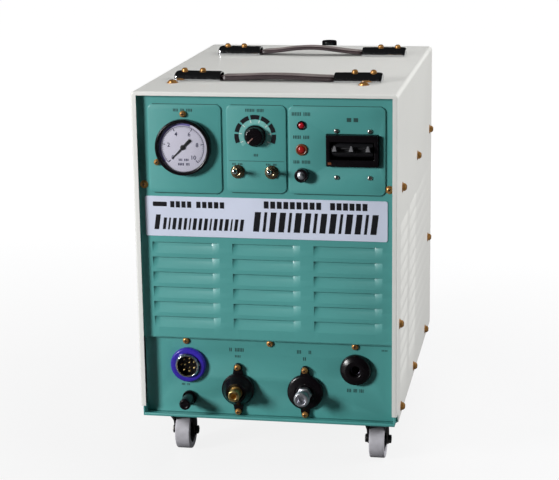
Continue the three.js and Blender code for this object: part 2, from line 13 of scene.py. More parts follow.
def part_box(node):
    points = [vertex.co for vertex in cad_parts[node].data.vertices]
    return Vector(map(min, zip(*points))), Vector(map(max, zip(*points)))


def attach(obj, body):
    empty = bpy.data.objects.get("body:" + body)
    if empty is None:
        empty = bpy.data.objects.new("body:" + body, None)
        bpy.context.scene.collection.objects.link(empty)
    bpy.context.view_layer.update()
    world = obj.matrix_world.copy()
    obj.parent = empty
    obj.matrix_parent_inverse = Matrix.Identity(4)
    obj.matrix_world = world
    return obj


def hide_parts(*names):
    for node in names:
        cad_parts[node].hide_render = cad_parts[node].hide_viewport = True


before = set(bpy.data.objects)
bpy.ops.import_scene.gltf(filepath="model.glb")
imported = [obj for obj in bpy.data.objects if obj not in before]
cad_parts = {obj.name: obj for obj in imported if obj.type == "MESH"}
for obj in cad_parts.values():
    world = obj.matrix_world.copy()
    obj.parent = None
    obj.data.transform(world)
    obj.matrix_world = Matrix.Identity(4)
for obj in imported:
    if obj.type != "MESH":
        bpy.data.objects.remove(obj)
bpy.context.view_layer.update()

# ---- the machine's own frame ----
MM = 0.001
ORIGIN = Vector((0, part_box("outer_casing")[0].y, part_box("base_pan")[0].z))
TO_ROW = Matrix.Translation(ORIGIN) @ Matrix.Scale(MM, 4)
STILL = Matrix.Identity(4)
SHARP_ANGLE = radians(35)


def low(node):
    return (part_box(node)[0] - ORIGIN) / MM


def high(node):
    return (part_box(node)[1] - ORIGIN) / MM


def middle(node):
    return (low(node) + high(node)) / 2


def spot(node, z=None):
    """The middle of a node, seen from the front."""
    centre = middle(node)
    return Vector((centre.x, 0, centre.z if z is None else z))


def rotation(axis, degrees):
    return Matrix.Rotation(radians(degrees), 4, axis)


HALF, DEPTH, HEIGHT = high("outer_casing")  # HALF is half the casing's width
PANEL_Y = low("front_panel").y
FIELD_Y = PANEL_Y - 1.9  # the front of the panel's raised fields
PLATE_Y = PANEL_Y - 0.9  # the front of the nameplate
LOWER_Y = low("lower_front_panel").y
REAR_Y = high("rear_panel").y
SEAM_Z = low("front_panel").z
SHEET = 1.5
INNER_HALF = HALF - SHEET - 0.3  # how wide the panels are inside the casing
LIP, TOP_LIP = 6.5, 5
CORNER = 5
NOTCH_Y, NOTCH_Z = 16, 13
LOUVER = {"width": 86, "height": 14.5, "depth": 3.8, "pitch": 19.4}
FRONT_LOUVERS = {"columns": (-102.5, 0, 102.5), "rows": 6, "top": 228.5}
SIDE_LOUVERS = {"columns": (81, 191), "rows": 11, "top": 252}
FIELDS = ((-146, -53.4, 292.4, 404), (-47, 27.5, 294.5, 404), (30.5, 149.5, 294.5, 404))

GAUGE, KNOB, BUTTON = spot("pressure_gauge"), spot("current_knob"), spot("button_bezel")
TOGGLE_Z = middle("left_toggle_body").z
TOGGLES = {side: spot(f"{side}_toggle_lever", TOGGLE_Z) for side in ("left", "right")}
POWER_LAMP, FAULT_LAMP = spot("power_lamp"), spot("fault_lamp")
BREAKER = spot("breaker_handle", low("breaker_body").z + 35.5)
CONTROL, FUSE, WORK = spot("control_socket_collar"), spot("fuse_holder"), spot("work_socket")
PILOT, TORCH = spot("pilot_terminal_flange"), spot("torch_terminal_flange")
FAN, GLAND = spot("fan_rotor"), spot("mains_gland")
REGULATOR = middle("regulator_bowl")
REGULATOR.z = low("regulator_bowl").z + 66


# ---- shapes: every function gives a bmesh in machine millimetres ----
def fillet(points, radius, steps=3, closed=False):
    """A polyline with its inner corners rounded; points are (a, b) pairs."""
    path = [Vector(p) for p in points]
    count = len(path)
    rounded = []
    for i, point in enumerate(path):
        if not closed and i in (0, count - 1):
            rounded.append(point)
            continue
        before = path[i - 1] - point
        after = path[(i + 1) % count] - point
        reach = min(radius, before.length * 0.45, after.length * 0.45)
        start = point + before.normalized() * reach
        end = point + after.normalized() * reach
        for k in range(steps + 1):
            t = k / steps
            rounded.append(start * (1 - t) ** 2 + point * 2 * t * (1 - t) + end * t * t)
    return rounded


def loft(rings, closed_rings=True, caps=True, closed_loft=False):
    """Skins a list of rings of equal length."""
    bm = bmesh.new()
    rows = [[bm.verts.new(p) for p in ring] for ring in rings]
    pairs = list(zip(rows, rows[1:]))
    if closed_loft:
        pairs.append((rows[-1], rows[0]))
    for near, far in pairs:
        last = len(near) if closed_rings else len(near) - 1
        for i in range(last):
            k = (i + 1) % len(near)
            bm.faces.new((near[i], near[k], far[k], far[i]))
    if caps:
        bm.faces.new(rows[0])
        bm.faces.new(reversed(rows[-1]))
    return bm


TURN = {
    "x": Matrix(((0, 0, 1, 0), (1, 0, 0, 0), (0, 1, 0, 0), (0, 0, 0, 1))),
    "y": Matrix(((1, 0, 0, 0), (0, 0, 1, 0), (0, 1, 0, 0), (0, 0, 0, 1))),
    "z": STILL,
}


def moved(bm, at=(0, 0, 0), turn=STILL):
    bm.transform(Matrix.Translation(Vector(at)) @ turn)
    return bm


def turned(profile, facets=64, radius=0.0, axis="y", at=(0, 0, 0), wobble=None):
    """A turned piece; profile is (radius, place along the axis). A profile that ends off the axis closes on
    itself. wobble(angle, place) scales the radius, for flutes and knurls."""
    points = [Vector(p) for p in profile]
    ring_shaped = points[0].x > 0 and points[-1].x > 0
    if radius:
        points = fillet(points, radius, closed=ring_shaped)
    bm = bmesh.new()
    spin = []
    for point in points:
        if point.x < 1e-6:
            spin.append([bm.verts.new((0, 0, point.y))] * facets)
            continue
        ring = []
        for i in range(facets):
            angle = 2 * pi * i / facets
            r = point.x * (wobble(angle, point.y) if wobble else 1)
            ring.append(bm.verts.new((r * cos(angle), r * sin(angle), point.y)))
        spin.append(ring)
    pairs = list(zip(spin, spin[1:]))
    if ring_shaped:
        pairs.append((spin[-1], spin[0]))
    for near, far in pairs:
        for i in range(facets):
            k = (i + 1) % facets
            unique = list(dict.fromkeys((near[i], near[k], far[k], far[i])))
            if len(unique) > 2:
                bm.faces.new(unique)
    return moved(bm, at, TURN[axis])


def rod(radius, start, end, facets=48, edge=0.3, **placing):
    return turned([(0, start), (radius, start), (radius, end), (0, end)], facets, edge, **placing)


def pipe(inner, outer, start, end, facets=48, edge=0.0, **placing):
    return turned([(inner, start), (outer, start), (outer, end), (inner, end)], facets, edge, **placing)


def bead(radius, along, height, half, facets):
    """A thin raised line round a turned piece."""
    return turned([(radius, along), (radius + height, along + half), (radius, along + 2 * half)], facets)


def fluted(count, depth, start, end):
    """A wobble: shallow flutes between two places along the axis."""
    return lambda angle, along: 1 - depth * max(0, cos(count * angle)) if start < along < end else 1


def box(x0, x1, y0, y1, z0, z1, edge=0.0):
    bm = bmesh.new()
    bmesh.ops.create_cube(bm, size=1)
    scale = Matrix.Diagonal((x1 - x0, y1 - y0, z1 - z0, 1))
    moved(bm, ((x0 + x1) / 2, (y0 + y1) / 2, (z0 + z1) / 2), scale)
    return soften(bm, edge) if edge else bm


def soften(bm, width):
    """Rounds the sharp edges."""
    bmesh.ops.recalc_face_normals(bm, faces=bm.faces)
    sharp = [e for e in bm.edges if len(e.link_faces) == 2 and e.calc_face_angle() > SHARP_ANGLE]
    bmesh.ops.bevel(bm, geom=sharp, offset=width, segments=3, profile=0.5, affect="EDGES", clamp_overlap=True)
    return bm


def prism(outline, y0, y1, edge=0.0):
    """An outline of (x, z) points pushed along y."""
    bm = loft([[(x, y, z) for x, z in outline] for y in (y0, y1)])
    return soften(bm, edge) if edge else bm


def side_prism(outline, x0, x1):
    """An outline of (y, z) points pushed along x, with soft edges."""
    return soften(loft([[(x, y, z) for y, z in outline] for x in (x0, x1)]), 0.4)


def circle(radius, x=0.0, z=0.0, facets=64, start=0.0):
    angles = [start + 2 * pi * i / facets for i in range(facets)]
    return [(x + radius * cos(angle), z + radius * sin(angle)) for angle in angles]


def hexagon(flats, y0, y1, edge=0.5):
    return prism(circle(flats / 3 ** 0.5, facets=6), y0, y1, edge)


def rounded_rect(x0, x1, z0, z1, radius):
    steps = 6
    corners = ((x1 - radius, z0 + radius, -90), (x1 - radius, z1 - radius, 0),
               (x0 + radius, z1 - radius, 90), (x0 + radius, z0 + radius, 180))
    outline = []
    for x, z, start in corners:
        angles = [radians(start + 90 * k / steps) for k in range(steps + 1)]
        outline += [(x + radius * cos(angle), z + radius * sin(angle)) for angle in angles]
    return outline


def pillow(x0, x1, z0, z1, radius, levels, flat=False):
    """A rounded rectangle that rises in steps; levels are (inset, y), or (inset, z) when it lies flat."""
    rings = []
    for i, level in levels:
        outline = rounded_rect(x0 + i, x1 - i, z0 + i, z1 - i, max(radius - i, 0.3))
        rings.append([(a, b, level) if flat else (a, level, b) for a, b in outline])
    return loft(rings)


def placed(name, data):
    made = bpy.data.objects.new(name, data)
    bpy.context.scene.collection.objects.link(made)
    return made


def drawn(curve):
    """A curve as a bmesh; the curve itself is dropped."""
    holder = placed("cut", curve)
    mesh = bpy.data.meshes.new_from_object(holder.evaluated_get(bpy.context.evaluated_depsgraph_get()))
    bm = bmesh.new()
    bm.from_mesh(mesh)
    bpy.data.objects.remove(holder)
    bpy.data.curves.remove(curve)
    bpy.data.meshes.remove(mesh)
    return bm


def pierced(outline, holes, y0, y1, edge=0.0):
    """A plate along y with holes through it; the outline and the holes are lists of (x, z)."""
    curve = bpy.data.curves.new("cut", "CURVE")
    curve.dimensions = "2D"
    curve.fill_mode = "BOTH"
    curve.extrude = (y1 - y0) / 2 - edge
    curve.bevel_depth = edge
    curve.bevel_resolution = 2
    curve.offset = -edge
    for loop in [outline, *holes]:
        spline = curve.splines.new("POLY")
        spline.points.add(len(loop) - 1)
        spline.use_cyclic_u = True
        for point, (x, z) in zip(spline.points, loop):
            point.co = (x, z, 0, 1)
    bm = drawn(curve)
    bmesh.ops.remove_doubles(bm, verts=bm.verts, dist=1e-3)
    return moved(bm, (0, (y0 + y1) / 2, 0), TURN["y"])


def merged(*parts):
    """Several shapes as one."""
    whole = bmesh.new()
    for part in parts:
        mesh = bpy.data.meshes.new("part")
        part.to_mesh(mesh)
        whole.from_mesh(mesh)
        bpy.data.meshes.remove(mesh)
        part.free()
    return whole


def tube(path, radius, sides=12):
    """A round wire through a list of points, with flat ends."""
    points = [Vector(p) for p in path]
    rings = []
    for i, point in enumerate(points):
        along = (points[min(i + 1, len(points) - 1)] - points[max(i - 1, 0)]).normalized()
        across = along.cross(Vector((0, 1, 0))).normalized()
        up = across.cross(along)
        angles = [2 * pi * k / sides for k in range(sides)]
        rings.append([point + radius * (across * cos(angle) + up * sin(angle)) for angle in angles])
    return loft(rings)


def louvered(u_span, v_span, layout, place, skip=None):
    """A sheet with a grid of louvers pressed into it, each flush at its lower edge and open at its upper one.
    place(u, v, depth) gives the point; skip(u, v) leaves out the cells round that spot."""
    half, height = LOUVER["width"] / 2, LOUVER["height"]
    tops = [layout["top"] - row * LOUVER["pitch"] for row in range(layout["rows"])]
    steep, gentle, slope_steps = 8, 9.8, 8  # how far each end's slope reaches, and the steps up a louver
    merge_gap = 1e-6

    def spaced(values):
        values = sorted(values)
        return [v for i, v in enumerate(values) if i == 0 or v - values[i - 1] > merge_gap]

    us, vs = set(u_span), set(v_span)
    for column in layout["columns"]:
        us |= {column - half + steep * k / 8 for k in range(9)}
        us |= {column + half - inset for inset in (0, 1.2, 4.7, 8.3, gentle)}
    for top in tops:
        vs |= {top - height + height * k / slope_steps for k in range(slope_steps + 1)}
    us, vs = spaced(us), spaced(vs)

    def across(u):
        for column in layout["columns"]:
            left, right = u - column + half, column + half - u
            if min(left, right) > merge_gap:
                return sin(min(left / steep, 1) * pi / 2) ** 0.6 * min(right / gentle, 1)
        return 0

    def slope(v, below):
        for top in tops:
            share = (v - top + height) / height
            if merge_gap < share < 1 - merge_gap or (below and abs(share - 1) < merge_gap):
                return share ** 1.05
        return 0

    bm = bmesh.new()
    made = {}

    def corner(i, j, below):
        depth = LOUVER["depth"] * across(us[i]) * slope(vs[j], below)
        key = (i, j, round(depth, 5))
        if key not in made:
            made[key] = bm.verts.new(place(us[i], vs[j], depth))
        return made[key]

    for i in range(len(us) - 1):
        for j in range(len(vs) - 1):
            if skip and skip((us[i] + us[i + 1]) / 2, (vs[j] + vs[j + 1]) / 2):
                continue
            corners = ((i, j, False), (i + 1, j, False), (i + 1, j + 1, True), (i, j + 1, True))
            bm.faces.new([corner(*c) for c in corners])
    return bm


def thickened(bm, thickness, outward):
    """Gives a sheet its thickness, away from the side that faces outward."""
    bmesh.ops.recalc_face_normals(bm, faces=bm.faces)
    if sum((f.normal * f.calc_area() for f in bm.faces), Vector()).dot(outward) < 0:
        bmesh.ops.reverse_faces(bm, faces=bm.faces)
    bmesh.ops.solidify(bm, geom=list(bm.faces), thickness=thickness)
    return bm


# ---- materials ----
def filled(tree, node, inputs):
    """Sets a node's inputs: another node's socket is linked, anything else is a value."""
    for key, value in inputs.items():
        if isinstance(value, bpy.types.NodeSocket):
            tree.links.new(value, node.inputs[key])
        else:
            node.inputs[key].default_value = value
    return node


def added(tree, kind, inputs=None, **settings):
    """Adds a node to a tree."""
    node = tree.nodes.new(kind)
    for key, value in settings.items():
        setattr(node, key, value)
    return filled(tree, node, inputs or {})


def shader_graph(name):
    made = bpy.data.materials.new(name)
    made.use_nodes = True
    return made, made.node_tree, made.node_tree.nodes["Principled BSDF"]


def finish(slot, name, color, roughness, grain, mottle, metallic=0.0, stretch=(1, 1, 1), coat=0.0, alpha=1.0,
           wear=None, specular=0.5):
    """A procedural finish. grain is (scale, bump), mottle is (scale, share of brightness), stretch pulls the
    grain out along an axis for brushed or drawn surfaces, and wear is the colour that shows along edges."""
    made, tree, principled = shader_graph(name)
    made["slot"] = slot

    def noise(scale, detail, vector):
        inputs = {"Scale": scale, "Detail": detail, "Vector": vector}
        return added(tree, "ShaderNodeTexNoise", inputs).outputs["Fac"]

    def mapped(value, least, most, start=0.3, end=0.7):
        inputs = {"Value": value, "From Min": start, "From Max": end, "To Min": least, "To Max": most}
        return added(tree, "ShaderNodeMapRange", inputs).outputs["Result"]

    def blended(share, first, second):
        inputs = {"Factor": share, 6: first, 7: second}  # 6 and 7 are the two colours
        return added(tree, "ShaderNodeMix", inputs, data_type="RGBA").outputs[2]

    where = added(tree, "ShaderNodeTexCoord").outputs["Object"]
    scale, amount = mottle
    darker = (*(c * (1 - amount) for c in color), 1)
    lighter = (*(min(c * (1 + amount), 1) for c in color), 1)
    tint = blended(mapped(noise(scale, 5, where), 0, 1), darker, lighter)
    if wear:
        edge = added(tree, "ShaderNodeBevel", {"Radius": 0.0012}, samples=4)
        plain = added(tree, "ShaderNodeNewGeometry")
        normals = {0: edge.outputs["Normal"], 1: plain.outputs["Normal"]}
        likeness = added(tree, "ShaderNodeVectorMath", normals, operation="DOT_PRODUCT").outputs["Value"]
        shares = {0: mapped(likeness, 0, 0.7, 0.96, 0.8), 1: mapped(noise(160, 4, where), 0, 1)}
        patchy = added(tree, "ShaderNodeMath", shares, operation="MULTIPLY")
        tint = blended(patchy.outputs["Value"], tint, (*wear, 1))
    stretched = added(tree, "ShaderNodeMapping", {"Vector": where, "Scale": stretch})
    fine = noise(grain[0], 3, stretched.outputs["Vector"])
    bump = added(tree, "ShaderNodeBump", {"Height": fine, "Strength": grain[1], "Distance": 0.0006})
    filled(tree, principled, {
        "Base Color": tint,
        "Roughness": mapped(fine, roughness * 0.75, min(roughness * 1.25, 1)),
        "Normal": bump.outputs["Normal"],
        "Metallic": metallic,
        "Coat Weight": coat,
        "Coat Roughness": 0.12,
        "Alpha": alpha,
        "Specular IOR Level": specular,
    })
    return made


def metal(slot, name, color, roughness, grain, mottle, metallic=1.0, stretch=(1, 1, 1)):
    return finish(slot, name, color, roughness, grain, mottle, metallic, stretch)


def ink(slot, name, color, roughness=0.5, mottle=0.1, specular=0.5):
    return finish(slot, name, color, roughness, (1500, 0.02), (200, mottle), specular=specular)


CREAM = finish("cream_paint", "cream_enamel", (0.8, 0.8, 0.77), 0.38, (700, 0.06), (6, 0.02), coat=0.25)
TEAL = finish("teal_paint", "teal_enamel", (0.081, 0.335, 0.318), 0.42, (750, 0.09), (7, 0.07), coat=0.3,
              wear=(0.14, 0.42, 0.4))
GLOSS_BLACK = finish("gloss_black", "gloss_black", (0.004, 0.003, 0.004), 0.24, (1200, 0.04), (60, 0.2),
                     specular=0.3)
DARK = finish("dark_moulding", "dark_moulding", (0.011, 0.011, 0.013), 0.45, (2200, 0.25), (50, 0.2),
              specular=0.3)
CLEAR = finish("clear_plastic", "clear_lens", (0.05, 0.05, 0.06), 0.04, (300, 0.01), (30, 0.02), alpha=0.08)
BOWL = finish("clear_plastic", "smoked_bowl", (0.55, 0.62, 0.66), 0.08, (300, 0.02), (40, 0.1), alpha=0.55)
# black for the gauge hand, also used for the painted shade in the screws' cross recesses
NEEDLE_AND_RECESS_SHADE = finish("needle_black", "needle_black", (0.008, 0.008, 0.009), 0.4, (900, 0.03), (80, 0.2))
RED = finish("red_lens", "red_lens", (0.42, 0.012, 0.022), 0.18, (1500, 0.1), (150, 0.2), coat=0.5)
DEEP_RED = finish("orange_lens", "deep_red_lens", (0.3, 0.012, 0.01), 0.18, (1500, 0.1), (150, 0.2),
                  coat=0.5)
RUST = finish("orange_lens", "rust_plastic", (0.16, 0.05, 0.02), 0.35, (1500, 0.1), (150, 0.2))
BLUE = finish("blue_plastic", "blue_plastic", (0.035, 0.02, 0.36), 0.28, (1500, 0.06), (60, 0.15), coat=0.3)
VINYL = finish("strap_rubber", "strap_vinyl", (0.03, 0.017, 0.02), 0.34, (1400, 0.35), (40, 0.3), coat=0.3)
# lighter tan: painted sheen standing in for the light on the strap's top face
STRAP_TOP_SHEEN = finish("strap_rubber", "strap_painted_sheen", (0.2, 0.165, 0.16), 0.5, (900, 0.2), (40, 0.25))
TYRE = finish("grey_tyre", "grey_tyre", (0.5, 0.49, 0.53), 0.5, (120, 0.2), (90, 0.12), stretch=(1, 8, 8))
BOARD = finish("circuit_board", "circuit_board", (0.02, 0.16, 0.06), 0.4, (500, 0.2), (300, 0.5))
IRON = finish("transformer_iron", "transformer_iron", (0.16, 0.1, 0.06), 0.55, (300, 0.3), (60, 0.3),
              stretch=(1, 6, 1))
PLATE_WHITE = finish("cream_paint", "nameplate_white", (0.68, 0.73, 0.88), 0.35, (900, 0.04), (12, 0.05),
                     coat=0.4)
DIAL_WHITE = finish("cream_paint", "dial_white", (0.8, 0.78, 0.92), 0.45, (900, 0.03), (40, 0.04))

NICKEL = metal("zinc_plate", "warm_nickel", (0.4, 0.31, 0.19), 0.24, (600, 0.1), (90, 0.2))
ZINC = metal("zinc_plate", "zinc_plate", (0.62, 0.61, 0.57), 0.32, (600, 0.12), (70, 0.14))
DARK_STEEL = metal("zinc_plate", "dark_steel", (0.1, 0.09, 0.12), 0.3, (600, 0.1), (90, 0.2))
CHROME = metal("bright_chrome", "bright_chrome", (0.8, 0.81, 0.83), 0.1, (400, 0.02), (40, 0.04))
SATIN = metal("bright_chrome", "satin_chrome", (0.8, 0.81, 0.86), 0.34, (900, 0.05), (60, 0.06))
BRASS = metal("brass", "bright_brass", (0.86, 0.62, 0.25), 0.34, (500, 0.08), (90, 0.18))
SCREW = metal("brass", "passivated_screw", (0.5, 0.25, 0.075), 0.34, (700, 0.1), (150, 0.3), 0.6)
CASTOR = metal("castor_steel", "castor_steel", (0.13, 0.125, 0.12), 0.34, (500, 0.15), (60, 0.25))
ALUMINIUM = metal("cast_aluminium", "cast_aluminium", (0.66, 0.67, 0.68), 0.38, (1500, 0.3), (60, 0.1))
COPPER = metal("copper_winding", "copper_winding", (0.55, 0.22, 0.09), 0.35, (250, 0.4), (80, 0.3), 0.8,
               (1, 1, 6))

INK = ink("gloss_black", "black_ink", (0.006, 0.006, 0.009), 0.6, 0.15, 0.2)
DIAL_INK = ink("blue_plastic", "dial_ink", (0.02, 0.018, 0.085), 0.6, 0.15, 0.2)
# painted shade: violet for the dial's left and upper rim, where the bezel shades the dial
DIAL_RIM_SHADE = ink("blue_plastic", "dial_rim_painted_shade", (0.19, 0.16, 0.46))
# label print; the same dark also paints the shade lines along the fields' top and bottom edges
LABEL_INK_AND_EDGE_SHADE = ink("teal_paint", "label_ink_and_edge_shade", (0.015, 0.06, 0.055), mottle=0.2)
PRINT_WHITE = ink("cream_paint", "white_print", (0.72, 0.76, 0.72))
MINT = ink("teal_paint", "mint_print", (0.17, 0.46, 0.43))
LEVER_GREY = ink("gloss_black", "lever_grey", (0.15, 0.15, 0.16), 0.45)
POINTER_DIM = ink("gloss_black", "pointer_brown", (0.2, 0.1, 0.085), 0.45)
POINTER_PINK = ink("cream_paint", "pointer_pink", (0.8, 0.52, 0.5), 0.45)


def piece(name, shape, material, node=None, body="chassis", smooth=32, at=(0, 0, 0), turn=STILL):
    """Turns a shape, or a list of shapes, into a piece that rides on a CAD body and stands for a CAD node."""
    bm = merged(*shape) if isinstance(shape, (list, tuple)) else shape
    moved(bm, at, turn).transform(TO_ROW)
    bmesh.ops.recalc_face_normals(bm, faces=bm.faces)
    mesh = bpy.data.meshes.new(name)
    bm.to_mesh(mesh)
    bm.free()
    mesh.shade_smooth()
    mesh.set_sharp_from_angle(angle=radians(smooth))
    made = placed(name, mesh)
    mesh.materials.append(material)
    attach(made, body)
    if node:
        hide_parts(node)


# ---- screws ----
FACING = {"front": rotation("X", 90), "back": rotation("X", -90), "top": STILL}


def screws(name, facing, spots, radius, height=2.8, material=SCREW, washer=False):
    """Pan-head screws with a cross recess; spots are (x, y, z), on the surface they clamp. The facing "side"
    means right or left, after the sign of x."""
    heads, recess_shades = [], []
    arm, slot = radius * 0.52, radius * 0.13
    profile = [(0, height), (radius * 0.55, height), (radius * 0.95, height * 0.62), (radius, height * 0.3),
               (radius, 0.5), (0, 0.5)]
    for i, (x, y, z) in enumerate(spots):
        way = FACING[facing] if facing != "side" else rotation("Y", 90 if x > 0 else -90)
        turn = way @ rotation("Z", 37 * i)
        heads.append(moved(turned(profile, 28, 0.5, "z"), (x, y, z), turn))
        if washer:
            heads.append(moved(rod(radius * 1.3, 0, 0.8, 28, axis="z"), (x, y, z), turn))
        # the cross recess is not cut: black bars on the head paint the shade inside it
        for wide, tall in ((arm, slot), (slot, arm)):
            groove = box(-wide, wide, -tall, tall, height - 0.5, height + 0.04)
            recess_shades.append(moved(groove, (x, y, z), turn))
    piece(name, heads, material)
    piece(name + "_recesses", recess_shades, NEEDLE_AND_RECESS_SHADE)


# ---- casing, base and panels ----
def casing_ring(inset, y, bottom):
    side, top = HALF - inset, HEIGHT - (TOP_LIP if inset == LIP else inset)
    radius = max(CORNER - inset, 0.5)
    steps = 8
    ring = [(side, y, bottom)]
    for centre, start in ((side - radius, 0), (radius - side, pi / 2)):
        for k in range(steps + 1):
            angle = start + pi / 2 * k / steps
            ring.append((centre + radius * cos(angle), y, top - radius + radius * sin(angle)))
    ring.append((-side, y, bottom))
    return ring


def make_casing():
    fold = 2.2
    quarter = [(fold * (1 - sin(a)), fold * (1 - cos(a))) for a in (pi / 2 * k / 8 for k in range(9))]
    front = [(LIP, SHEET), (LIP, 0)] + quarter
    levels = [(inset, y, NOTCH_Z) for inset, y in front]
    levels += [(inset, DEPTH - y, 1) for inset, y in reversed(front)]
    levels += [(SHEET, DEPTH - SHEET, 1), (SHEET, SHEET, NOTCH_Z)]
    wrap = loft([casing_ring(*level) for level in levels], closed_rings=False, caps=False, closed_loft=True)
    flats = [f for f in wrap.faces if abs(f.calc_center_median().x) > HALF - 2
             and all(max(v.co[i] for v in f.verts) - min(v.co[i] for v in f.verts) > 99 for i in (1, 2))]
    bmesh.ops.delete(wrap, geom=flats, context="FACES")  # louvered sheets take their place
    sides = []
    for side in (-1, 1):
        sheet = louvered((fold, NOTCH_Y, DEPTH - fold), (1, NOTCH_Z, HEIGHT - CORNER), SIDE_LOUVERS,
                         lambda u, v, depth: (side * (HALF - 0.7 * depth), u, v),
                         skip=lambda u, v: u < NOTCH_Y and v < NOTCH_Z)
        sides.append(thickened(sheet, SHEET, Vector((side, 0, 0))))
    piece("casing_wrap", [wrap, *sides], CREAM, "outer_casing", smooth=12)
    side_spots = [(56, 296), (252, 299), (436, 303), (418, 145), (27, 127.5), (383, 14), (211, 13), (47, 12)]
    spots = [(x, y, z) for y, z in side_spots for x in (HALF, -HALF)]
    screws("casing_side_screws", "side", spots, 5, 5.4, washer=True)
    spots = [(x, y, HEIGHT) for x in (-130, 114) for y in (76, DEPTH - 76)]
    screws("casing_top_screws", "top", spots, 5.6, 3.8, washer=True)


def wall(side, outer, thickness):
    """The x span of an upright sheet on the left (-1) or the right (1)."""
    return sorted((side * outer, side * (outer - thickness)))


def make_base():
    edge = HALF - 3
    parts = [box(-INNER_HALF, INNER_HALF, NOTCH_Y, REAR_Y + SHEET, 0, 2, 0.4),
             box(-edge, edge, 0.2, NOTCH_Y, 0, 2, 0.4), box(-edge, edge, 0, 3.2, 0, 3.8, 1.2)]
    for side in (-1, 1):
        parts.append(box(*wall(side, edge, 1.8), 0, LOWER_Y - 0.3, 0, NOTCH_Z - 0.3, 0.6))
        parts.append(box(*wall(side, INNER_HALF, SHEET), NOTCH_Y + 3, REAR_Y - 3, 0.5, 22, 0.3))
    ribs = ((0, 2), (0.8, 3.2), (2.2, 4.2), (3.2, 4.5))  # pressed into the underside, standing inwards
    parts += [pillow(-95, 95, y - 9, y + 9, 8, ribs, flat=True) for y in (150, 235, 320)]
    piece("base_tray", parts, TEAL, "base_pan")


def make_front_panel():
    top = HEIGHT - SHEET - 1.3
    join_z = 262  # where the louvered sheet meets the pierced one
    sheet = louvered((-INNER_HALF, INNER_HALF), (SEAM_Z, join_z), FRONT_LOUVERS,
                     lambda u, v, depth: (u, PANEL_Y + depth, v))
    left, right = low("breaker_body").x - 0.3, high("breaker_body").x + 0.3
    window = rounded_rect(left, right, BREAKER.z - 19.8, BREAKER.z + 19.8, 1)
    upper = rounded_rect(-INNER_HALF, INNER_HALF, join_z, top, 0.2)
    upper = pierced(upper, [window], PANEL_Y, PANEL_Y + SHEET)
    foot = box(-156, 156, PANEL_Y, LOWER_Y - 0.3, SEAM_Z, SEAM_Z + SHEET, 0.6)
    lower = thickened(sheet, SHEET, Vector((0, -1, 0)))
    piece("control_panel", [lower, upper, foot], TEAL, "front_panel", smooth=12)
    fields = [pierced(rounded_rect(*field, 7), holes, FIELD_Y, PANEL_Y + 1.2, 1.1)
              for field, holes in zip(FIELDS, ((), (), [window]))]
    piece("control_panel_fields", fields, TEAL)
    # dark lines along each field's top and bottom edges: painted shade for the fields' raised edges; the line
    # across the middle field is print
    edges = [bars(FIELD_Y + 0.05, z, 0.7, [(x0 + 6, x1 - 6)]) for x0, x1, *ends in FIELDS for z in ends]
    piece("field_rule_and_edge_shade", [bars(FIELD_Y, 334.5, 0.6, [(-44, 24.5)]), *edges], LABEL_INK_AND_EDGE_SHADE)
    plate = pillow(-153, 152, 236.5, 287.5, 2.5, [(0, PANEL_Y), (0, PANEL_Y - 0.7), (0.3, PLATE_Y)])
    piece("nameplate", plate, PLATE_WHITE)


def make_lower_panel():
    rim = HALF - SHEET - 3.3
    openings = ((CONTROL, 15.6), (PILOT, 10.5), (TORCH, 10.5), (WORK, 14.4))
    holes = [circle(radius, centre.x, centre.z) for centre, radius in openings]
    sheet = pierced(rounded_rect(-rim, rim, 2.3, SEAM_Z + 14, 0.5), holes, LOWER_Y, LOWER_Y + SHEET, 0.2)
    piece("connector_panel", sheet, TEAL, "lower_front_panel")
    seam_spots = [(x, LOWER_Y, z) for x, z in ((-106.5, 98.3), (2, 98.6), (110.5, 99))]
    screws("seam_screws", "front", seam_spots, 4.4, 3.4)
    screws("control_panel_screws", "front", [(x, PANEL_Y, 302) for x in (-153.5, 154)], 3.9, washer=True)


# ---- print on the front: generic marks with no lettering ----
def bars(y, z, height, spans, slant=0.0, thickness=0.15):
    """A row of flat bars, each from x0 to x1, leaning to the right by slant."""
    lean, half = slant * height / 2, height / 2
    return merged(*(prism([(x0 - lean, z - half), (x1 - lean, z - half), (x1 + lean, z + half),
                           (x0 + lean, z + half)], y - thickness, y) for x0, x1 in spans))


def dashes(x, widths, gap=1.0):
    """Spans of the given widths, side by side, centred on x."""
    total = sum(widths) + gap * (len(widths) - 1)
    spans, start = [], x - total / 2
    for width in widths:
        spans.append((start, start + width))
        start += width + gap
    return spans


def caption(y, z, height, x, widths, gap=2.4):
    """A generic caption, centred on x: words made of narrow bars."""
    spans = []
    for start, end in dashes(x, widths, gap):
        count = max(round((end - start) / 1.9), 1)
        step = (end - start) / count
        spans += [(start + k * step, start + (k + 0.55) * step) for k in range(count)]
    return bars(y, z, height, spans)


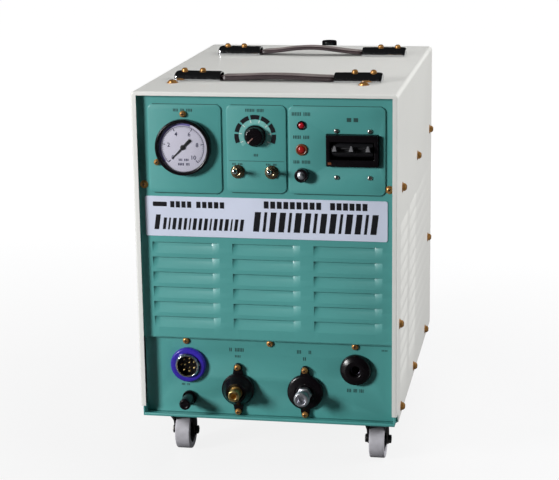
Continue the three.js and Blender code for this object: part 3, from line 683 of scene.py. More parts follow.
def make_print():
    field_captions = (
        (396.5, 3.6, GAUGE.x, (7, 5, 8)), (397.5, 3.8, KNOB.x, (12, 9)), (342, 3.2, KNOB.x + 1, (6,)),
        (330.5, 2.6, TOGGLES["left"].x, (5, 6)), (330.5, 2.6, TOGGLES["right"].x, (6, 5)),
        (393.9, 4.4, POWER_LAMP.x, (12, 9)), (365.4, 4.2, FAULT_LAMP.x, (10, 8)),
        (334.7, 4, BUTTON.x, (8, 11)),
    )
    socket_captions = (
        (88.5, 4.8, PILOT.x - 1.5, (4, 12), 3.4), (79.8, 3, PILOT.x, (8,)), (89, 4.6, TORCH.x - 1, (6, 4), 9),
        (80, 4.4, TORCH.x - 0.5, (4.5,)), (40.8, 4.6, WORK.x - 0.5, (6, 5, 6)),
        (39.6, 2.6, CONTROL.x - 4, (5, 4)), (95, 2, 148, (8,)),
    )
    marks = [caption(FIELD_Y, *row) for row in field_captions]
    marks += [caption(LOWER_Y, *row) for row in socket_captions]
    marks.append(bars(FIELD_Y, 387.5, 5, dashes(BREAKER.x, (5.5, 5.5), 2.8)))
    piece("label_marks", marks, LABEL_INK_AND_EDGE_SHADE)

    small = (3.8, 2.2, 4.4, 4.0, 3.6, 2.0, 4.4, 3.8, 4.2, 2.2, 4.2, 3.8, 4.4, 2.0, 4.0, 4.2)
    large = (7.6, 3.6, 7.2, 7.4, 3.4, 7.8, 7.2, 3.8, 7.4, 7.6, 3.4, 7.8, 7.2, 3.6, 7.4)
    even = ((277.5, 8, -120.6, 5.2, 7.2, 4), (277.5, 8, -87.3, 5.4, 7.5, 5), (279.5, 9, -1.8, 6, 8.2, 9),
            (279.5, 9, 81, 6, 8, 6))
    rows = [bars(PLATE_Y, z, height, [(x + pitch * k, x + pitch * k + width) for k in range(count)])
            for z, height, x, width, pitch, count in even]
    rows.append(bars(PLATE_Y, 254.5, 19, [(-140.5, -134.5)], 0.15))
    rows.append(bars(PLATE_Y, 252.7, 15, dashes(-79, small, 3), 0.15))
    rows.append(bars(PLATE_Y, 257.8, 25, dashes(62.5, large, 4.4), 0.12))
    badge = prism(rounded_rect(-143, -125, 274.6, 280.4, 1), PLATE_Y - 0.15, PLATE_Y)
    piece("nameplate_marks", [badge, *rows], INK)


# ---- control panel ----
def lettered(words, size, x, y, z):
    """Generic dial numbers, as a mesh that faces the front."""
    curve = bpy.data.curves.new("number", "FONT")
    curve.body = words
    curve.size = size
    curve.align_x = "CENTER"
    curve.align_y = "CENTER"
    curve.extrude = 0.06
    curve.offset = 0.12
    return moved(drawn(curve), (x, y, z), rotation("X", 90))


def sweep_mark(radius, length, width, angle, y):
    """A tick on a dial, at an angle clockwise from the top."""
    return moved(box(-width / 2, width / 2, y - 0.12, y, radius - length, radius), turn=rotation("Y", angle))


def arc_block(inner, outer, start, end, y0, y1, steps=8):
    """A block between two radii, from one clockwise angle to another."""
    angles = [radians(start + (end - start) * k / steps) for k in range(steps + 1)]
    outline = [(outer * sin(a), outer * cos(a)) for a in angles]
    outline += [(inner * sin(a), inner * cos(a)) for a in reversed(angles)]
    return prism(outline, y0, y1)


POINTER_REST = rotation("Y", -135)


def make_gauge():
    front = low("pressure_gauge").y
    dial_y = PANEL_Y - 6.8
    bezel = [(30.5, dial_y), (30.5, front + 2.2), (31.4, front + 0.4), (33.4, front), (35, front + 1.6),
             (35, PANEL_Y), (30.5, PANEL_Y)]
    back = [(0, 1), (30, 1), (30, 22), (12, 25), (6, 25), (6, 38), (0, 38)]
    back = turned(back, 48, 0.5, at=(0, PANEL_Y, 0))
    piece("gauge_case", [turned(bezel, 96, 0.8), back], GLOSS_BLACK, "pressure_gauge", at=GAUGE)
    piece("gauge_dial", rod(30.5, dial_y, dial_y + 1, 96), DIAL_WHITE, at=GAUGE)
    marks = []
    first, last, divisions = -135, 135, 50
    for i in range(divisions + 1):
        angle = first + (last - first) * i / divisions
        major = i % 10 == 0
        length, width = (3.8, 1.0) if major else (2.0, 0.35)
        marks.append(sweep_mark(26.4, length, width, angle, dial_y))
        if major:
            a = radians(angle)
            marks.append(lettered(str(i // 5), 7.2, 18.2 * sin(a), dial_y, 18.2 * cos(a)))
    marks.append(arc_block(26.2, 26.8, first, last, dial_y - 0.12, dial_y, 60))
    marks.append(caption(dial_y, -15.5, 3.0, 1, (5, 6), 2))
    marks.append(caption(dial_y, -21.0, 3.2, 1, (8, 5), 2))
    piece("gauge_scale", marks, DIAL_INK, at=GAUGE)
    # a violet crescent on the dial's left and upper rim: painted shade where the bezel shades the dial
    rim_shade = arc_block(27.6, 30.2, -128, 20, dial_y - 0.14, dial_y - 0.02, 60)
    piece("gauge_rim_painted_shade", rim_shade, DIAL_RIM_SHADE, at=GAUGE)
    half = [(2, -13.7), (1.4, -2), (1, 4), (0.4, 20)]
    pointer = prism(half + [(-x, z) for x, z in reversed(half)], 1, 1.8, 0.15)
    hub = turned([(0, 0.4), (2.4, 0.4), (3.2, 1.0), (3.2, 2.6), (0, 2.6)], 32, 0.3)
    piece("gauge_hand", [pointer, hub], NEEDLE_AND_RECESS_SHADE, "gauge_needle", "gauge_pointer", at=GAUGE, turn=POINTER_REST)
    glass = turned([(0, 0.6), (12, 0.7), (22, 1), (30.2, 1.6), (30.2, 2.5), (0, 1.8)], 96, at=(0, front, 0))
    piece("gauge_glass", glass, CLEAR, "gauge_lens", at=GAUGE)
    spots = [(GAUGE.x + reach * sin(radians(a)), FIELD_Y, GAUGE.z + reach * cos(radians(a)))
             for a, reach in ((0, 41), (240, 39.5))]
    screws("gauge_screws", "front", spots, 4.2, 4.4)


def make_knob():
    front = low("current_knob").y
    first, blocks = -115, 7
    step = -2 * first / blocks
    starts = [first + i * step for i in range(blocks + 1)]
    ring = [arc_block(20.6, 26, a + 3, a + step - 3, FIELD_Y - 0.25, FIELD_Y) for a in starts[:-1]]
    piece("knob_scale_blocks", ring, INK, at=KNOB)
    ticks = [sweep_mark(20.2, 3.6, 0.9, start, FIELD_Y - 0.05) for start in starts]
    piece("knob_scale_ticks", ticks, PRINT_WHITE, at=KNOB)
    piece("knob_scale_ground", arc_block(14.6, 20.4, -130, 130, FIELD_Y - 0.06, FIELD_Y, 60), MINT, at=KNOB)
    body = [(0, front), (9.4, front), (11, front + 0.8), (11.6, front + 3), (12, 4.2), (13.4, 5.1),
            (13.5, 6.6), (0, 6.6)]
    grip = turned(body, 168, 0.6, wobble=fluted(14, 0.035, front - 1, PANEL_Y - 5.4))
    shaft = rod(3, 5, high("current_knob").y, 24)
    piece("current_dial", [grip, shaft], GLOSS_BLACK, "current_knob", "current_knob", at=KNOB)
    line = box(-0.8, 0.8, front - 0.06, front + 0.6, 1.5, 8.4, 0.2)
    dot = rod(1.1, front - 0.1, front + 1.4, 24, at=(0, 0, 9.4))
    for name, mark, material in (("line", line, POINTER_DIM), ("dot", dot, POINTER_PINK)):
        piece(f"current_dial_{name}", mark, material, body="current_knob", at=KNOB, turn=POINTER_REST)


def make_toggles():
    for side, centre in TOGGLES.items():
        front = low(f"{side}_toggle_body").y
        collar = [(3.1, front + 0.4), (4.6, front), (5.8, front + 0.8), (5.8, FIELD_Y), (3.1, FIELD_Y)]
        bushing = [turned(collar, 48, 0.3), pipe(5, 8.6, FIELD_Y - 1, FIELD_Y + 0.2, 48, 0.2),
                   hexagon(14, FIELD_Y - 3.6, FIELD_Y - 0.9),
                   box(-6.5, 6.5, PANEL_Y + 2, PANEL_Y + 24, -10, 10, 0.8)]
        piece(f"{side}_toggle_bushing", bushing, NICKEL, f"{side}_toggle_body", at=centre)
        bat = [(0, -20), (2, -19.6), (2.9, -18.2), (2.9, -16.4), (1.8, -3), (1.9, -0.8), (2.7, 0.8),
               (2.4, 2.4), (0, 3.2)]
        piece(f"{side}_toggle_bat", turned(bat, 32, 0.5), CHROME, f"{side}_toggle_lever", f"{side}_toggle",
              at=(centre.x, 6, centre.z), turn=rotation("X", -12))


def make_button():
    front = low("button_bezel").y
    bezel = [(5.2, 4), (5.2, front + 1.4), (6.2, front), (7.8, front), (8.5, front + 1.2),
             (8.6, FIELD_Y + 0.3), (5.2, FIELD_Y + 0.3)]
    back = rod(6, PANEL_Y + 1, high("button_bezel").y)
    piece("button_surround", [turned(bezel, 64, 0.5), back], GLOSS_BLACK, "button_bezel", at=BUTTON)
    top = low("push_button").y
    back_y = FIELD_Y - 3.3  # clear of the panel when pressed in
    cap = [(0, top), (2.5, top + 0.1), (3.2, top + 0.7), (3.3, front + 0.9), (4.7, front + 1.2),
           (4.7, back_y), (0, back_y)]
    piece("button_cap", turned(cap, 48, 0.4), SATIN, "push_button", "button", at=BUTTON)


def make_lamp(node, centre, scale, material, rim):
    lens = [(0, 3.2), (1.6, 3.35), (3.0, 4.2), (3.7, 5.6), (3.8, FIELD_Y), (0, FIELD_Y)]
    lens = turned([(r * scale, y) for r, y in lens], 48, wobble=lambda a, y: 1 + 0.02 * cos(12 * a))
    piece(f"{node}_lens", lens, material, node, at=centre)
    ring = [(3.75, 5.4), (4.6, 4.9), (5.5, 5.6), (5.6, FIELD_Y + 0.2), (3.75, FIELD_Y + 0.2)]
    ring = turned([(r * scale, y) for r, y in ring], 48, 0.3)
    piece(f"{node}_bezel", [ring, rod(3.6 * scale, PANEL_Y + 1, high(node).y, 24)], rim, at=centre)


def make_breaker():
    front = low("breaker_body").y
    slot = rounded_rect(-27, 27, -11, 11, 1.2)
    case = [pierced(rounded_rect(-31.75, 31.75, -19.5, 19.5, 1.6), [slot], front, PANEL_Y + 6, 0.6),
            pierced(rounded_rect(-29, 29, -13, 13, 1), [slot], front + 3, 30),
            box(-29, 29, 29, 31, -13, 13),
            box(-31.7, 31.7, PANEL_Y + 1.8, 70, 13.2, 31.5, 1.2),
            box(-31.7, 31.7, PANEL_Y + 1.8, 70, -35.5, -13.2, 1.2),
            box(-31.7, 31.7, 31.2, 70, -13.1, 13.1, 1)]
    case += [box(x - 0.5, x + 0.5, front + 0.09, front + 1, *span) for x in (-10, 10)
             for span in ((12.2, 19), (-19, -12.2))]
    piece("breaker_case", case, GLOSS_BLACK, "breaker_body", at=BREAKER)
    pivot = (BREAKER.x, 12, BREAKER.z)
    tilt = rotation("X", -18)
    poles = (-20.3, 0, 20.3)
    levers = [rod(9, -25.5, 25.5, 64, 0.8, axis="x"), box(-21, 21, -12.4, -10.4, -1.0, 1.0, 0.4)]
    levers += [prism([(x - 3.2, -5.0), (x + 3.2, -5.0), (x + 1.5, 2.4), (x - 1.5, 2.4)], -18, -6, 0.5)
               for x in poles]
    piece("breaker_levers", levers, DARK, "breaker_handle", "breaker_lever", at=pivot, turn=tilt)
    tips = [prism([(x - 2.5, -4.7), (x + 2.5, -4.7), (x + 0.7, 1.9), (x - 0.7, 1.9)], -18.2, -17.6, 0.1)
            for x in poles]
    piece("breaker_lever_tips", tips, LEVER_GREY, body="breaker_lever", at=pivot, turn=tilt)
    piece("breaker_flag", box(-29.5, -25.2, front - 0.15, front + 0.4, -16.8, -14, 0.1), RUST, at=BREAKER)
    spots = [(BREAKER.x + x, FIELD_Y, BREAKER.z + z) for x in (-19.7, 21.2) for z in (-33.5, 23.8)]
    screws("breaker_screws", "front", spots, 3, 2.4, ZINC)


# ---- connectors ----
def make_control_socket():
    collar = [(15.4, 9.6), (17.2, 8.6), (21.2, 8.8), (22.8, 10.6), (23, LOWER_Y), (15.4, LOWER_Y)]
    collar = turned(collar, 96, 0.6, wobble=fluted(30, 0.012, 9.4, LOWER_Y + 1))
    piece("control_socket_ring", collar, BLUE, "control_socket_collar", at=CONTROL)
    shell = [(12.6, 24), (12.6, 6), (13.2, 5), (14.4, 5), (15.2, 6.2), (15.2, 40), (0, 40), (0, 24)]
    ridges = [bead(15.1, y, 0.4, 0.5, 72) for y in (6.6, 7.9)]
    piece("control_socket_shell_turned", [turned(shell, 96, 0.3), *ridges], CHROME,
          "control_socket_shell", at=CONTROL)
    insert = [rod(12.5, 16, 23.9, 64, 0.6), box(-1.2, 1.2, 8, 17, 11.4, 12.7, 0.2)]
    piece("control_socket_insert", insert, GLOSS_BLACK, at=CONTROL)
    pin = [(0, 10.5), (0.7, 10.9), (0.9, 12), (0.9, 17), (0, 17)]
    pins = [turned(pin, 16, at=(r * cos(a), 0, r * sin(a))) for r, count in ((4, 3), (8.6, 7))
            for a in (2 * pi * (i + 0.5) / count for i in range(count))]
    piece("control_socket_pins", pins, BRASS, at=CONTROL)


def make_fuse():
    front = low("fuse_cap").y
    holder = [(0, 11.4), (7.2, 11.4), (8.6, 10), (9.5, 11.2), (9.5, LOWER_Y), (6.2, LOWER_Y), (6.2, 52),
              (0, 52)]
    piece("fuse_socket", turned(holder, 64, 0.4), GLOSS_BLACK, "fuse_holder", at=FUSE)
    grip = [(0, front + 0.6), (3.4, front + 0.6), (4.6, front), (6.2, front + 0.2), (7.3, front + 1.6),
            (7.5, 9.8), (0, 9.8)]
    cap = turned(grip, 144, 0.5, wobble=fluted(18, 0.05, front + 1, 8.5))
    bar = box(-5.6, 5.6, front, front + 1.2, -0.9, 0.9, 0.3)
    piece("fuse_carrier_cap", [cap, bar], GLOSS_BLACK, "fuse_cap", "fuse_carrier", at=FUSE)


def terminal_flange(name, centre, node, radius, front):
    rim = max(front + 4.5, LOWER_Y - 6)
    ear_z = 29.5
    disc = [(8.5, front + 1.7), (10.4, front + 0.1), (12.5, front), (radius - 2.2, rim - 2.6),
            (radius - 0.4, rim - 1.4), (radius, rim), (radius, LOWER_Y), (8.5, LOWER_Y)]
    ring = [(12.2, front + 0.4), (13, front - 0.5), (13.8, front + 0.8)]
    flange = [turned(disc, 96, 0.8), turned(ring, 96), pipe(8.4, 10.2, front + 2.5, LOWER_Y + 14)]
    for side in (-1, 1):
        neck = [(-7.2, side * 18), (7.2, side * 18), (4.9, side * ear_z), (-4.9, side * ear_z)]
        flange += [prism(circle(5, 0, side * ear_z, 40), 10.5, LOWER_Y, 0.8), prism(neck, 10.5, LOWER_Y, 0.6)]
    piece(name, flange, GLOSS_BLACK, node, at=centre)
    screws(f"{name}_screws", "front", [(centre.x, 10.6, centre.z + z) for z in (-ear_z, ear_z)], 4.1, 4.4)


def make_terminals():
    terminal_flange("pilot_flange", PILOT, "pilot_terminal_flange", 21, -4)
    terminal_flange("torch_flange", TORCH, "torch_terminal_flange", 23, 6.5)
    front = low("pilot_terminal_stud").y
    collar = [(3.6, -4), (3.6, front + 0.8), (4.2, front), (6.6, front), (7.4, front + 0.8), (7.4, -4)]
    stud = [pierced(circle(8, facets=4, start=pi / 4), [circle(3.7, facets=32)], front, front + 8, 0.5),
            turned(collar, 48, 0.2), rod(8, -4, 44, 48, 0.4)]
    piece("pilot_stud", stud, BRASS, "pilot_terminal_stud", at=PILOT)

    front = low("torch_adaptor").y
    shank = [(0, -12), (5.5, -12), (5.5, front + 0.6), (6, front), (8.5, front), (9.5, front + 1.2),
             (9.5, -11), (6.4, -7), (6.4, 3), (8, 4), (8, 44), (0, 44)]
    shank = turned(shank, 96, 0.35, wobble=fluted(24, 0.03, front + 1, -11.4))
    beads = [bead(9.4, y, 0.4, 0.4, 64) for y in (front + 2.2, -12.6)]
    adaptor = [shank, hexagon(17.5, -1, 6.2, 0.8), *beads]
    piece("torch_adaptor_turned", adaptor, SATIN, "torch_adaptor", at=TORCH)


def make_work_socket():
    body = [(0, 38), (7, 38), (7, 5.2), (7.8, 4.5), (12.4, 4.5), (18.4, 7.4), (19.9, 11), (20, LOWER_Y),
            (14.2, LOWER_Y), (14.2, 50), (0, 50)]
    piece("work_socket_moulding", turned(body, 96, 0.7), GLOSS_BLACK, "work_socket", at=WORK)
    sleeve = turned([(4.6, 36), (4.6, 13), (5.2, 12.2), (6.9, 12.2), (6.9, 36)], 64, 0.3)
    piece("work_socket_contact", [sleeve, box(-1.2, 1.2, 11, 16, 5.4, 7, 0.2)], DARK_STEEL, at=WORK)


# ---- handles ----
STRAP = {"half": 91, "width": 24, "thick": 4.5, "rest": 2.3, "flat": 73}
STRAP_RISE = {"front": 2, "rear": 6}
STRAP_SAG = {"front": 1.6, "rear": 0.4}  # how much lower the strap hangs between the caps
CAP = {"outer": 133, "length": 60, "depth": 28, "height": 11}


def strap_height(x, rise):
    return HEIGHT + STRAP["rest"] + rise * (1 + cos(pi * min(abs(x) / STRAP["flat"], 1))) / 2


def slim(x):
    """How much of its full section the strap keeps: less inside the caps."""
    return 1 - 0.35 * min(max(abs(x) - STRAP["flat"] + 4, 0) / 4, 1)


def make_strap(end, centre):
    half_wide, thick, sag = STRAP["width"] / 2, STRAP["thick"], STRAP_SAG[end]
    section = [(-half_wide, -sag), (half_wide, -sag), (half_wide, thick), (-half_wide, thick)]
    section = fillet(section, 1.5, 4, closed=True)
    crown = [(v, h - 0.5 * (v / half_wide) ** 2 * (h / thick)) for v, h in section]
    # a lighter band along the strap's top: painted sheen for its lit top face
    sheen_outline = [(-10.6, thick - 0.9), (10.6, thick - 0.9)]
    sheen_outline += [(v, thick + 0.15 - 0.5 * (v / half_wide) ** 2) for v in (10.2, 7, 3.5, 0, -3.5, -7, -10.2)]
    steps = [STRAP["half"] * (k / 40) for k in range(-40, 41)]

    def swept(outline, stations):
        return loft([[(centre.x + x, centre.y + v * slim(x), strap_height(x, STRAP_RISE[end]) + h * slim(x))
                      for v, h in outline] for x in stations])

    piece(f"{end}_strap_vinyl", swept(crown, steps), VINYL, f"{end}_handle_strap", f"{end}_strap", smooth=50)
    piece(f"{end}_strap_sheen_band", swept(sheen_outline, steps[8:-8]), STRAP_TOP_SHEEN, body=f"{end}_strap", smooth=50)


def make_handle_cap(end, side, outer, inner, y):
    """One chrome hood over the end of a strap; outer and inner are the x of its ends."""
    depth = CAP["depth"] / 2
    # the share of the length, the inset and the drop
    sections = ((0, 1.6, 2.2), (0.012, 0.6, 1), (0.035, 0.15, 0.35), (0.08, 0, 0), (0.55, 0, 0.2),
                (0.9, 0, 0.4), (0.985, 0, 0.5), (1, 0.1, 0.6))

    def place(share):
        return outer + (inner - outer) * share

    rings = []
    for share, inset, drop in sections:
        angles = [pi * k / 24 for k in range(25)]
        rings.append([(place(share), y + (depth - inset) * cos(a),
                       HEIGHT + 0.3 + (CAP["height"] - drop) * max(sin(a), 0) ** 0.42) for a in angles])
    hood = loft(rings, closed_rings=False, caps=False)
    hood.verts.ensure_lookup_table()
    hood.faces.new(hood.verts[:25])
    shell = thickened(hood, 1.2, Vector((0, 0, 1)))
    piece(f"{end}_cap_{side}_hood", shell, CHROME, f"{end}_handle_cap_{side}", smooth=40)
    ends = sorted((place(0.02), place(0.98)))
    foot = box(*ends, y - depth + 0.2, y + depth - 0.2, HEIGHT + 0.3, HEIGHT + 1, 0.2)
    piece(f"{end}_cap_{side}_foot", foot, GLOSS_BLACK)
    return [(place(share), y, HEIGHT + CAP["height"] - 0.3) for share in (0.187, 0.583)]


def make_handles():
    spots = []
    for end in ("front", "rear"):
        centre = middle(f"{end}_handle_strap")
        make_strap(end, centre)
        for side, sign in (("left", -1), ("right", 1)):
            outer = centre.x + sign * CAP["outer"]
            spots += make_handle_cap(end, side, outer, outer - sign * CAP["length"], centre.y)
    screws("handle_screws", "top", spots, 4, 4.2)


# ---- castors ----
def make_castor(corner):
    """Drawn round the kingpin, then moved to its corner."""
    name = f"castor_{corner}"
    kingpin = middle(f"{name}_plate")
    axle_z = middle(f"{name}_wheel").z
    trail = 22  # how far the axle sits behind the kingpin
    foot = (kingpin.x, kingpin.y, 0)
    hub_spot = (kingpin.x, kingpin.y + trail, axle_z)

    outline = rounded_rect(-22, 22, -22, 22, 4)
    plate = soften(loft([[(a, b, z) for a, b in outline] for z in (-2.8, -0.3)]), 0.5)
    dish = [(0, -2.8), (16.5, -2.8), (15.6, -5.4), (14, -7.6), (12.5, -8), (0, -8)]
    bolts = [moved(prism(circle(3.6, facets=6), -1.8, 1.8, 0.4), (a, b, -3.3), rotation("X", 90))
             for a in (-16.5, 16.5) for b in (-16.5, 16.5)]
    piece(f"{name}_top_plate", [plate, turned(dish, 56, 0.8, "z"), *bolts], CASTOR, f"{name}_plate",
          at=foot)

    crown = [(0, -8.3), (13.4, -8.3), (14, -9.4), (13.4, -11.1), (0, -11.1)]
    leg = [(-14, -8.3), (20, -8.3), (28, axle_z + 8), (28, axle_z - 4), (24, axle_z - 7), (18, axle_z - 6),
           (8, -24)]
    leg = fillet(leg, 3.5, 4, closed=True)
    bridge = fillet([(-14, -8.3), (20, -8.3), (20, -10.3), (-14, -10.3)], 0.8, 3, closed=True)
    axle = [(0, -17.1), (3.1, -17.1), (3.6, -16.6), (3.6, 16.6), (3.1, 17.1), (0, 17.1)]
    fork = [turned(crown, 56, 0.5, "z"), side_prism(leg, -13.6, -11.6), side_prism(leg, 11.6, 13.6),
            side_prism(bridge, -13.4, 13.4), turned(axle, 32, 0.2, "x", (0, trail, axle_z))]
    fork += [moved(prism(circle(5.7, facets=6), -1.6, 1.6, 0.5), (x, trail, axle_z), rotation("Z", 90))
             for x in (-15.4, 15.4)]
    piece(f"{name}_fork_pressing", fork, CASTOR, f"{name}_fork", f"{corner}_swivel", at=foot)

    radius = (high(f"{name}_wheel").z - low(f"{name}_wheel").z) / 2
    tread = [(17, -9.6), (22, -10), (24.2, -9.6), (radius, -8.4), (radius, 8.4), (24.2, 9.6), (22, 10),
             (17, 9.6), (16.6, 6.6), (16.6, -6.6)]
    piece(f"{name}_tyre", turned(tread, 96, 0.6, "x"), TYRE, f"{name}_wheel", f"{corner}_wheel", at=hub_spot)
    hub = [(4, -11), (7.8, -11), (8.6, -9.6), (9.4, -7.4), (17.8, -6.2), (17.8, 6.2), (9.4, 7.4), (8.6, 9.6),
           (7.8, 11), (4, 11)]
    cheeks = [turned([(9, side * 7.6), (17.4, side * 8.6), (17.4, side * 6.4), (9, side * 6)], 64, 0.3, "x")
              for side in (-1, 1)]
    piece(f"{name}_hub", [turned(hub, 64, 0.4, "x"), *cheeks], DARK, body=f"{corner}_wheel", at=hub_spot)


# ---- rear ----
def make_rear_panel():
    outline = rounded_rect(-INNER_HALF, INNER_HALF, 2.3, HEIGHT - SHEET - 1.3, 4)
    holes = [circle(56, FAN.x, FAN.z, 96), circle(10.6, GLAND.x, GLAND.z, 40),
             circle(7.2, REGULATOR.x, REGULATOR.z, 40)]
    piece("back_panel", pierced(outline, holes, REAR_Y - SHEET, REAR_Y, 0.3), TEAL, "rear_panel")
    spots = [(x, REAR_Y, z) for x in (-152, 152) for z in (24, 150, 280, 398)]
    spots += [(x, REAR_Y, z) for x in (-50, 50) for z in (14, 402)]
    screws("back_panel_screws", "back", spots, 3.9, washer=True)
    front = REAR_Y + 0.85
    plate = pillow(40, 146, 118, 182, 3, [(0, REAR_Y), (0, REAR_Y + 0.7), (0.25, front)])
    piece("rating_plate", plate, PLATE_WHITE)
    rows = [box(46, 46 + width, front, front + 0.15, z, z + 1.4) for z, width in
            ((172, 60), (165, 84), (158, 92), (151, 74), (144, 92), (137, 58), (130, 80), (124, 44))]
    rules = [box(44, 142, front, front + 0.1, z, z + 0.5) for z in (121, 170, 178)]
    piece("rating_plate_marks", rows + rules, INK)


def blade(middle_y):
    """One fan blade, pointing up, with its sections turned and swept more towards the tip."""
    root, tip, steps = 17.5, 55.2, 8
    upper = (-0.5, -0.46, -0.3, 0, 0.3, 0.46, 0.5)
    rings = []
    for k in range(steps + 1):
        share = k / steps
        radius = root + (tip - root) * share
        chord, pitch, sweep = 26 + 4 * share, radians(48 - 16 * share), 0.28 * share ** 1.5
        section = [(t * chord, 4.4 * (0.25 - t * t) + side * 0.75 * (1 - (2 * t) ** 4))
                   for side, ts in ((1, upper), (-1, upper[-2:0:-1])) for t in ts]
        ring = []
        for across, thick in section:
            angle = (across * cos(pitch) - thick * sin(pitch)) / radius + sweep
            depth = across * sin(pitch) + thick * cos(pitch)
            ring.append((radius * sin(angle), middle_y + depth * 0.62, radius * cos(angle)))
        rings.append(ring)
    return loft(rings)


def make_fan():
    inner, outer = low("fan_frame").y, high("fan_frame").y
    half = (high("fan_frame").x - low("fan_frame").x) / 2
    holes = [circle(57, facets=96)]
    holes += [circle(2.2, a * (half - 7), b * (half - 7), 20) for a in (-1, 1) for b in (-1, 1)]
    outline = rounded_rect(-half, half, -half, half, 7)
    shroud = [pierced(outline, holes, *span, 0.4) for span in ((inner, inner + 4), (outer - 4, outer))]
    motor = [(0, inner), (17, inner), (18, inner + 1), (18, inner + 5), (0, inner + 5)]
    shroud += [pipe(57, 58.8, inner + 0.5, outer - 0.5, 96), turned(motor, 64, 0.4)]
    arms = [box(-3, 3, inner, inner + 3, 14, 58.5, 0.6) for _ in range(3)]
    shroud += [moved(arm, turn=rotation("Y", 120 * i)) for i, arm in enumerate(arms)]
    piece("fan_shroud", shroud, DARK, "fan_frame", at=FAN)

    front = inner + 5.3
    hub = [(0, outer - 2), (15, outer - 2), (18.6, outer - 3.2), (19, outer - 5), (19, front), (0, front)]
    blades = [moved(blade(inner + 15.5), turn=rotation("Y", 360 * i / 7)) for i in range(7)]
    piece("fan_impeller", [turned(hub, 64, 0.8), *blades], GLOSS_BLACK, "fan_rotor", "fan", at=FAN)
    piece("fan_hub_label", rod(13.5, outer - 2.1, outer - 1.9, 64, 0), PLATE_WHITE, body="fan", at=FAN)

    wire_y, eye_reach = REAR_Y + 5.1, 74
    wires = [turned([(radius + x, y) for x, y in circle(1.0, 0, wire_y, 12)], 96)
             for radius in (15, 22, 29.5, 37, 44.5, 52)]
    boss = [(0, 4), (8.4, 4), (9, 4.6), (9, 5.6), (8.2, 6.1), (0, 6.2)]
    wires.append(turned(boss, 48, at=(0, REAR_Y, 0)))
    for degrees in (45, 135, 225, 315):
        spoke = tube([(x, wire_y - 0.3, 0) for x in (4, 30, 70)], 1.1)
        eye = pipe(2.4, 5, 0.3, 5.6, 32, 0.5, at=(eye_reach, REAR_Y, 0))
        wires.append(moved(merged(spoke, eye), turn=rotation("Y", degrees)))
    piece("fan_finger_guard", wires, CHROME, "fan_guard", at=FAN)
    spots = [(x, REAR_Y + 4.2, z) for x, z in circle(eye_reach, FAN.x, FAN.z, 4, pi / 4)]
    screws("fan_guard_screws", "back", spots, 3.4, 2)


def make_regulator():
    back = REAR_Y + 0.3 - REGULATOR.y
    collar = [(0, 13), (16.5, 13), (17, 14), (17, 16), (15, 16.8), (14.6, 24), (9, 30), (8, 34), (0, 34)]
    ring = [(0, -16.3), (17.4, -16.3), (17.8, -15.2), (17.4, -14.4), (0, -14.4)]
    inlet = [(5.5, 12), (5.5, 26.4), (6.1, 27), (8.4, 27), (9, 26.4), (9, 18), (7, 12)]
    cap = [(0, -18.2), (7.2, -18.2), (7.6, -18.7), (7.6, -19), (0, -19)]
    casting = [box(-19, 19, -17, 17, -16, 14, 2.2), turned(collar, 72, 0.7, "z"), turned(ring, 72, 0.3, "z"),
               rod(6.6, REAR_Y - 26 - REGULATOR.y, -16.5), hexagon(18, back, back + 8.6, 0.8),
               turned(inlet, 48, 0.2, "x"), turned(cap, 48, 0.2, "x")]
    casting += [moved(box(-1, 1, 13.9, 15.4, 16.6, 24, 0.3), turn=rotation("Z", 22.5 * i)) for i in range(16)]
    piece("regulator_casting", casting, ALUMINIUM, "regulator_body", at=REGULATOR)
    bowl = [(0, -66), (2.8, -66), (3, -65.6), (3, -60.6), (8, -60.2), (11.6, -57.6), (14, -52), (15, -45),
            (15, -16.4), (0, -16.4)]
    piece("regulator_bowl_moulding", turned(bowl, 72, 0.6, "z"), BOWL, "regulator_bowl", at=REGULATOR)
    grip = [(0, 34.3), (10.2, 34.3), (11, 35), (11, 56.4), (10.2, 57.8), (4, 57.8), (3.4, 57), (0, 57)]
    piece("regulator_grip", turned(grip, 144, 0.5, "z", wobble=fluted(18, 0.06, 36, 56)), GLOSS_BLACK,
          "regulator_knob", "regulator_dial", at=REGULATOR)


def make_gland():
    at = GLAND + Vector((0, REAR_Y + 0.3, 0))
    body = [(7, 27.4), (7, -18.3), (10.2, -18.3), (10.2, 0), (14, 0), (14, 10), (12.6, 11), (12.6, 20),
            (9.6, 28), (7.4, 28)]
    dome = turned(body, 96, 0.6, wobble=fluted(12, 0.03, 11.5, 20.5))
    nut = pierced(circle(16, facets=6), [circle(10.4, facets=48)], 0, 8, 0.6)
    piece("gland_moulding", [dome, nut], DARK, "mains_gland", at=at)
    piece("gland_seal", turned([(5.2, 22), (7.1, 22), (7.1, 26.6), (6.2, 27), (5.2, 26)]), VINYL, at=at)


def dress_internals():
    finishes = (("equipment_shelf", ZINC), ("heat_sink", ALUMINIUM), ("inverter_board", BOARD),
                ("main_transformer", IRON), ("output_choke", COPPER), ("air_solenoid_valve", BRASS),
                ("control_board", BOARD))
    for node, material in finishes:
        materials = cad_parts[node].data.materials
        materials.clear()
        materials.append(material)


# ---- studio ----
def aimed(obj, start, target, roll=0.0):
    """Puts an object at a point and aims it at another, both in machine millimetres."""
    obj.location = TO_ROW @ Vector(start)
    along = (TO_ROW @ Vector(target) - obj.location).normalized()
    right = along.cross(Vector((0, 0, 1))).normalized()
    side = cos(roll) * right + sin(roll) * right.cross(along)
    obj.rotation_euler = Matrix((side, side.cross(along), -along)).transposed().to_euler()


def light(name, start, target, size, watts, mirrored=False):
    data = bpy.data.lights.new(name, "AREA")
    data.shape = "RECTANGLE"
    data.size, data.size_y = size
    data.energy = watts
    lamp = placed(name, data)
    aimed(lamp, start, target)
    lamp.visible_glossy = mirrored


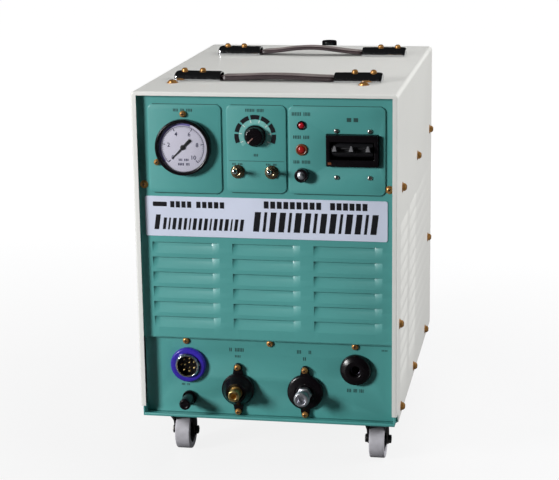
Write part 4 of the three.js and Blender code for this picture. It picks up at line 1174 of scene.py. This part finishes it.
def make_sky():
    """White behind the machine, and almost no light from all round."""
    world = bpy.data.worlds.new("studio")
    world.use_nodes = True
    tree = world.node_tree
    ambient = filled(tree, tree.nodes["Background"], {"Color": (0.93, 0.95, 1, 1), "Strength": 0.01})
    backdrop = added(tree, "ShaderNodeBackground", {"Strength": 1})
    seen = added(tree, "ShaderNodeLightPath").outputs["Is Camera Ray"]
    either = added(tree, "ShaderNodeMixShader", {0: seen, 1: ambient.outputs[0], 2: backdrop.outputs[0]})
    filled(tree, tree.nodes["World Output"], {"Surface": either.outputs[0]})
    bpy.context.scene.world = world


def make_floor():
    """A floor that takes the shadow and glows to white further out."""
    bm = bmesh.new()
    bmesh.ops.create_grid(bm, x_segments=1, y_segments=1, size=8)
    mesh = bpy.data.meshes.new("floor")
    bm.to_mesh(mesh)
    bm.free()
    floor = placed("floor", mesh)
    pale, tree, principled = shader_graph("pale_floor")
    where = added(tree, "ShaderNodeTexCoord").outputs["Object"]
    reach = added(tree, "ShaderNodeVectorMath", {0: where}, operation="LENGTH").outputs["Value"]
    inputs = {"Value": reach, "From Min": 0.35, "From Max": 1.6, "To Min": 0.86, "To Max": 1}
    glow = added(tree, "ShaderNodeMapRange", inputs).outputs["Result"]
    seen = added(tree, "ShaderNodeLightPath").outputs["Is Camera Ray"]
    share = added(tree, "ShaderNodeMath", {0: glow, 1: seen}, operation="MULTIPLY").outputs["Value"]
    filled(tree, principled, {"Base Color": (0.05, 0.05, 0.052, 1), "Roughness": 0.6,
                              "Emission Color": (1, 1, 1, 1), "Emission Strength": share})
    mesh.materials.append(pale)


def make_studio():
    camera_data = bpy.data.cameras.new("photo_view")
    camera_data.lens = 106.65
    camera_data.sensor_width = 36
    camera = placed("photo_view", camera_data)
    aimed(camera, (372.0, -1954.2, 722.6), (18.8, 0, 237.5), radians(-0.79))
    bpy.context.scene.camera = camera
    light("key", (-1740, -1520, 850), (0, 60, 230), (0.55, 0.55), 63, mirrored=True)
    light("right_fill", (1600, 150, 800), (100, 240, 220), (1.4, 1.6), 32)
    light("top_fill", (300, 1300, 1700), (0, 300, 300), (2.0, 2.0), 27)
    light("back_fill", (200, 2000, 900), (0, 300, 230), (1.5, 1.5), 15)
    make_sky()
    bpy.context.scene.view_settings.view_transform = "Standard"
    make_floor()


for make in (make_casing, make_base, make_front_panel, make_lower_panel, make_print, make_gauge, make_knob,
             make_toggles, make_button):
    make()
make_lamp("power_lamp", POWER_LAMP, 1.0, RED, GLOSS_BLACK)
make_lamp("fault_lamp", FAULT_LAMP, 1.3, DEEP_RED, RUST)
for make in (make_breaker, make_control_socket, make_fuse, make_terminals, make_work_socket, make_handles):
    make()
for end in ("front", "rear"):
    for side in ("left", "right"):
        make_castor(f"{end}_{side}")
for make in (make_rear_panel, make_fan, make_regulator, make_gland, dress_internals, make_studio):
    make()
